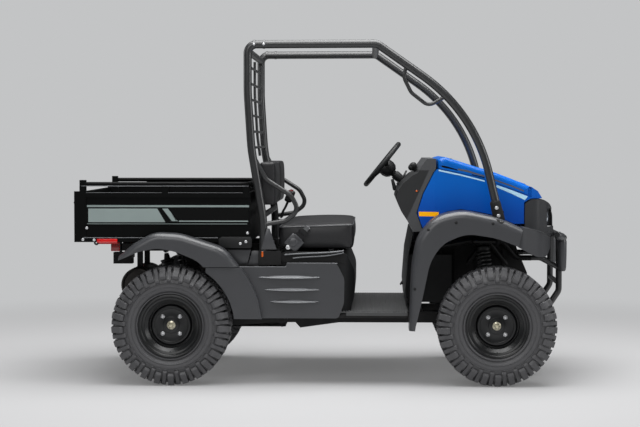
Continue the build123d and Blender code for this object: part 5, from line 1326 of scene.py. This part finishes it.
def footwell():
    """Raised ribs on the floor, and the pedals under the dashboard."""
    low, high = (corner * 1000 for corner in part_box("floor_plate"))
    pattern = block("tread_rib", (low.x + 14, -584, high.z - 0.4), (low.x + 21, 584, high.z + 2.6), 1.4, 1)
    ribs = [copied(pattern, f"tread_rib_{i}", moved(TREAD_PITCH * i, 0, 0)) for i in range(TREADS)]
    bpy.data.objects.remove(pattern)
    fitted(joined("floor_tread", ribs), FLOOR_PLASTIC)
    for name, y, width in (("brake", 210, 74), ("accelerator", 120, 46)):
        pad = put(block(f"{name}_pad", (-width / 2, -26, 0), (width / 2, 26, 9), 4),
                  aimed((452, y, 500), PEDAL_TILT) @ Matrix.Rotation(math.pi / 2, 4, Z_AXIS))
        stem = tube(f"{name}_stem", at_y(y, ((456, 496), (490, 560), (498, 700))), 7, smooth=True)
        fitted(joined(f"{name}_pedal", [pad, stem]), FRAME_BLACK)


steering()
dash_details()
footwell()


# ---------------------------------------------------------------- engine, drive and underside
MUFFLER_X, MUFFLER_Z, MUFFLER_END = -1036, 501, 212
ENGINE_FRONT_X = -345
SKID_Z = 270
SKID_CORNERS = ((-560, -150), (-220, -150), (-220, 150), (-560, 150))
AXLE_BOLTS, AXLE_BOLT_CIRCLE = 8, 78
RADIATOR_FINS, RADIATOR_EDGE = 24, 26


def muffler_details():
    """Rolled rims at the ends of the can, its strap bands and the collar at the outlet."""
    rings = []
    for side, _ in SIDES:
        rings.append(ring(f"muffler_rim_{side}", (MUFFLER_X, side * MUFFLER_END, MUFFLER_Z), (0, side, 0), (
            (78, -6), (82, 4), (90, 7), (98, 3), (98.4, -10), (92, -14), (78, -14))))
        rings.append(ring(f"muffler_band_{side}", (MUFFLER_X, side * 122, MUFFLER_Z), Y_AXIS, (
            (95, -9), (98.4, -8), (98.4, -3), (97.6, -2), (97.6, 2), (98.4, 3), (98.4, 8), (95, 9))))
    rings.append(ring("muffler_collar", (MUFFLER_X, MUFFLER_END + 26, MUFFLER_Z + 20), Y_AXIS, (
        (15, -8), (19, -7), (20.5, -4), (20.5, 4), (19, 7), (15, 8)), 32))
    fitted(joined("muffler_bands", rings), EXHAUST)


def engine_details():
    """Cooling fins round the head and a ribbed cover on either side."""
    low, high = (corner * 1000 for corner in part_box("engine"))
    fins = [block(f"engine_fin_{i}", (low.x - 3, low.y - 6, z), (ENGINE_FRONT_X + 4, high.y + 6, z + 6), 1.8)
            for i, z in enumerate(range(486, 640, 22))]
    fitted(joined("engine_fins", fins), ALLOY)
    for side, where in SIDES:
        centre = (-470, side * high.y, 396)
        cover = [turned(f"engine_cover_{side}", (
            (0, -2), (84, -2), (84, 8), (80, 11), (66, 13), (62, 9), (34, 9), (30, 14), (12, 15), (10, 12), (0, 12)),
            centre, (0, side, 0), 48)]
        cover += [put(block(f"cover_spoke_{i}", (-3, 30, 6), (3, 68, 12.5), 1.2),
                      aimed(centre, (0, side, 0)) @ Matrix.Rotation(FULL_TURN * i / 8, 4, "Z")) for i in range(8)]
        fitted(joined(f"engine_cover_{where}", cover), ALLOY)


def axle_details():
    """Ribs and bolts of the transaxle's housing, and the flanges near the rear brakes."""
    rings = [ring(f"axle_ring_{y}", (REAR_AXLE_X, y, AXLE_Z), Y_AXIS, profile) for profile, places in (
        (((93, -5), (99, -4), (100.5, -2), (100.5, 2), (99, 4), (93, 5)), (-88, -30, 30, 88)),
        (((33, -12), (44, -10), (52, -4), (52, 4), (44, 10), (33, 12)), (-420, 420))) for y in places]
    fitted(joined("axle_ribs", rings), IRON)
    places = []
    for i in range(AXLE_BOLTS):
        out = Matrix.Rotation(-FULL_TURN * (i + 0.5) / AXLE_BOLTS, 3, "Y") @ X_AXIS * AXLE_BOLT_CIRCLE
        places += [((REAR_AXLE_X + out.x, side * 90, AXLE_Z + out.z), (0, side, 0)) for side, _ in SIDES]
    bolts_at("axle_bolts", places, 5, 4)


def radiator_fins():
    """Upright fins over the radiator's face, between its two side tanks."""
    low, high = (corner * 1000 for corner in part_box("radiator"))
    pitch = (high.y - low.y - 2 * RADIATOR_EDGE) / (RADIATOR_FINS - 1)
    fins = []
    for i in range(RADIATOR_FINS):
        y = low.y + RADIATOR_EDGE + i * pitch
        fins.append(block(f"radiator_fin_{i}", (high.x - 1, y - 1.6, low.z + 12), (high.x + 3, y + 1.6, high.z - 12),
                          0.7, 1))
    for side, _ in SIDES:
        y = side * (high.y - 10)
        fins.append(block(f"radiator_tank_{side}", (low.x - 3, y - 11, low.z - 1), (high.x + 3, y + 11, high.z + 1),
                          5, 3))
    fitted(joined("radiator_fins", fins), ALLOY)


def skid_plate():
    """Plate under the engine, with its pressed beads and bolts."""
    pieces = [rounded(slab("skid_plate", [(x, y, SKID_Z - 2) for x, y in SKID_CORNERS], (0, 0, -3)), 1.2, 1)]
    pieces += [tube(f"skid_bead_{y}", [(x, y, SKID_Z - 4) for x in (-530, -250)], 4, sides=3)
               for y in (-90, -30, 30, 90)]
    fitted(joined("skid_plate", pieces), FRAME_BLACK)
    bolts_at("skid_bolts", [((x, y, SKID_Z - 5), (0, 0, -1)) for x in (-540, -240) for y in (-130, 130)], 7, 4)


muffler_details()
engine_details()
axle_details()
radiator_fins()
skid_plate()


# ---------------------------------------------------------------- studio
BACKDROP = paint_value(195, 196, 197)
FLOOR_COLOUR = paint_value(166, 166, 167)
FLOOR_LIFT = 0.12       # steady light from the floor, so that the shade under the vehicle stays soft
WORLD_LIGHT = 0.27
WORLD_GLOSS = paint_value(84, 85, 86)
FLOOR_RADIUS = 7.5
FLOOR_FADE = (2.6, 5.2)      # from the lit floor to the backdrop's tone, in metres from the middle
FLOOR_SINK = 0.0005
CAMERA_PLACE = (0.2505, -9.6, 1.285)
CAMERA_AIM = (-0.0294, 1.0, -0.04086)
CAMERA_LENS = 95.3
LAMPS = (  # name, place, width, height, power, colour
    ("overhead_softbox", (0.2, -0.4, 4.6), 4.6, 4.0, 360, (1.0, 1.0, 1.0)),
    ("camera_side_softbox", (-1.5, -6.4, 4.2), 5.0, 2.6, 105, (1.0, 0.995, 0.99)),
    ("front_softbox", (6.5, -2.2, 2.6), 3.0, 2.6, 90, (1.0, 1.0, 1.0)),
    ("rear_softbox", (-6.5, 1.5, 3.0), 3.0, 3.0, 60, (1.0, 1.0, 1.0)),
)


def studio_floor():
    deselect()
    bpy.ops.mesh.primitive_circle_add(vertices=96, radius=FLOOR_RADIUS, fill_type="NGON", location=(0, 0, -FLOOR_SINK))
    floor = added("studio_floor")
    finish = Finish("studio_floor", Roughness=0.85, Specular_IOR_Level=0.1)
    finish.shader.inputs["Base Color"].default_value = FLOOR_COLOUR
    finish.shader.inputs["Emission Color"].default_value = (1, 1, 1, 1)
    finish.shader.inputs["Emission Strength"].default_value = FLOOR_LIFT
    across, along = finish.along("X"), finish.along("Y")
    reach = (across * across + along * along) ** 0.5
    far = reach.above(sum(FLOOR_FADE) / 2, (FLOOR_FADE[1] - FLOOR_FADE[0]) / 2)
    glow = finish.tree.nodes.new("ShaderNodeEmission")
    glow.inputs["Color"].default_value = BACKDROP
    mix = finish.tree.nodes.new("ShaderNodeMixShader")
    finish.tree.links.new(far.socket, mix.inputs[0])
    finish.tree.links.new(finish.shader.outputs[0], mix.inputs[1])
    finish.tree.links.new(glow.outputs[0], mix.inputs[2])
    finish.tree.links.new(mix.outputs[0], finish.tree.nodes["Material Output"].inputs["Surface"])
    floor.data.materials.append(finish.material)


def studio_lamps():
    target = Vector((0, 0, 0.8))
    for name, place, width, height, power, colour in LAMPS:
        light = bpy.data.lights.new(name, "AREA")
        light.shape = "RECTANGLE"
        light.size, light.size_y = width, height
        light.energy = power
        light.color = colour
        lamp = bpy.data.objects.new(name, light)
        lamp.location = place
        lamp.rotation_euler = (target - Vector(place)).to_track_quat("-Z", "Y").to_euler()
        bpy.context.scene.collection.objects.link(lamp)


def studio_world():
    """Soft light from all round, plain grey to the camera, and a dimmer room in gloss."""
    world = bpy.data.worlds.new("studio")
    world.use_nodes = True
    tree = world.node_tree
    rays = tree.nodes.new("ShaderNodeLightPath")
    last = tree.nodes["Background"]
    last.inputs["Color"].default_value = (0.98, 0.99, 1.0, 1.0)
    last.inputs["Strength"].default_value = WORLD_LIGHT
    for ray, colour in (("Is Glossy Ray", WORLD_GLOSS), ("Is Transmission Ray", BACKDROP), ("Is Camera Ray", BACKDROP)):
        shown = tree.nodes.new("ShaderNodeBackground")
        shown.inputs["Color"].default_value = colour
        mix = tree.nodes.new("ShaderNodeMixShader")
        tree.links.new(rays.outputs[ray], mix.inputs[0])
        tree.links.new(last.outputs[0], mix.inputs[1])
        tree.links.new(shown.outputs[0], mix.inputs[2])
        last = mix
    tree.links.new(last.outputs[0], tree.nodes["World Output"].inputs["Surface"])
    bpy.context.scene.world = world


def camera():
    lens = bpy.data.cameras.new("camera")
    lens.sensor_fit = "HORIZONTAL"
    lens.sensor_width = 36
    lens.lens = CAMERA_LENS
    made = bpy.data.objects.new("camera", lens)
    made.location = CAMERA_PLACE
    made.rotation_euler = Vector(CAMERA_AIM).to_track_quat("-Z", "Y").to_euler()
    bpy.context.scene.collection.objects.link(made)
    bpy.context.scene.camera = made


studio_floor()
studio_lamps()
studio_world()
camera()
bpy.context.scene.view_settings.view_transform = "Standard"
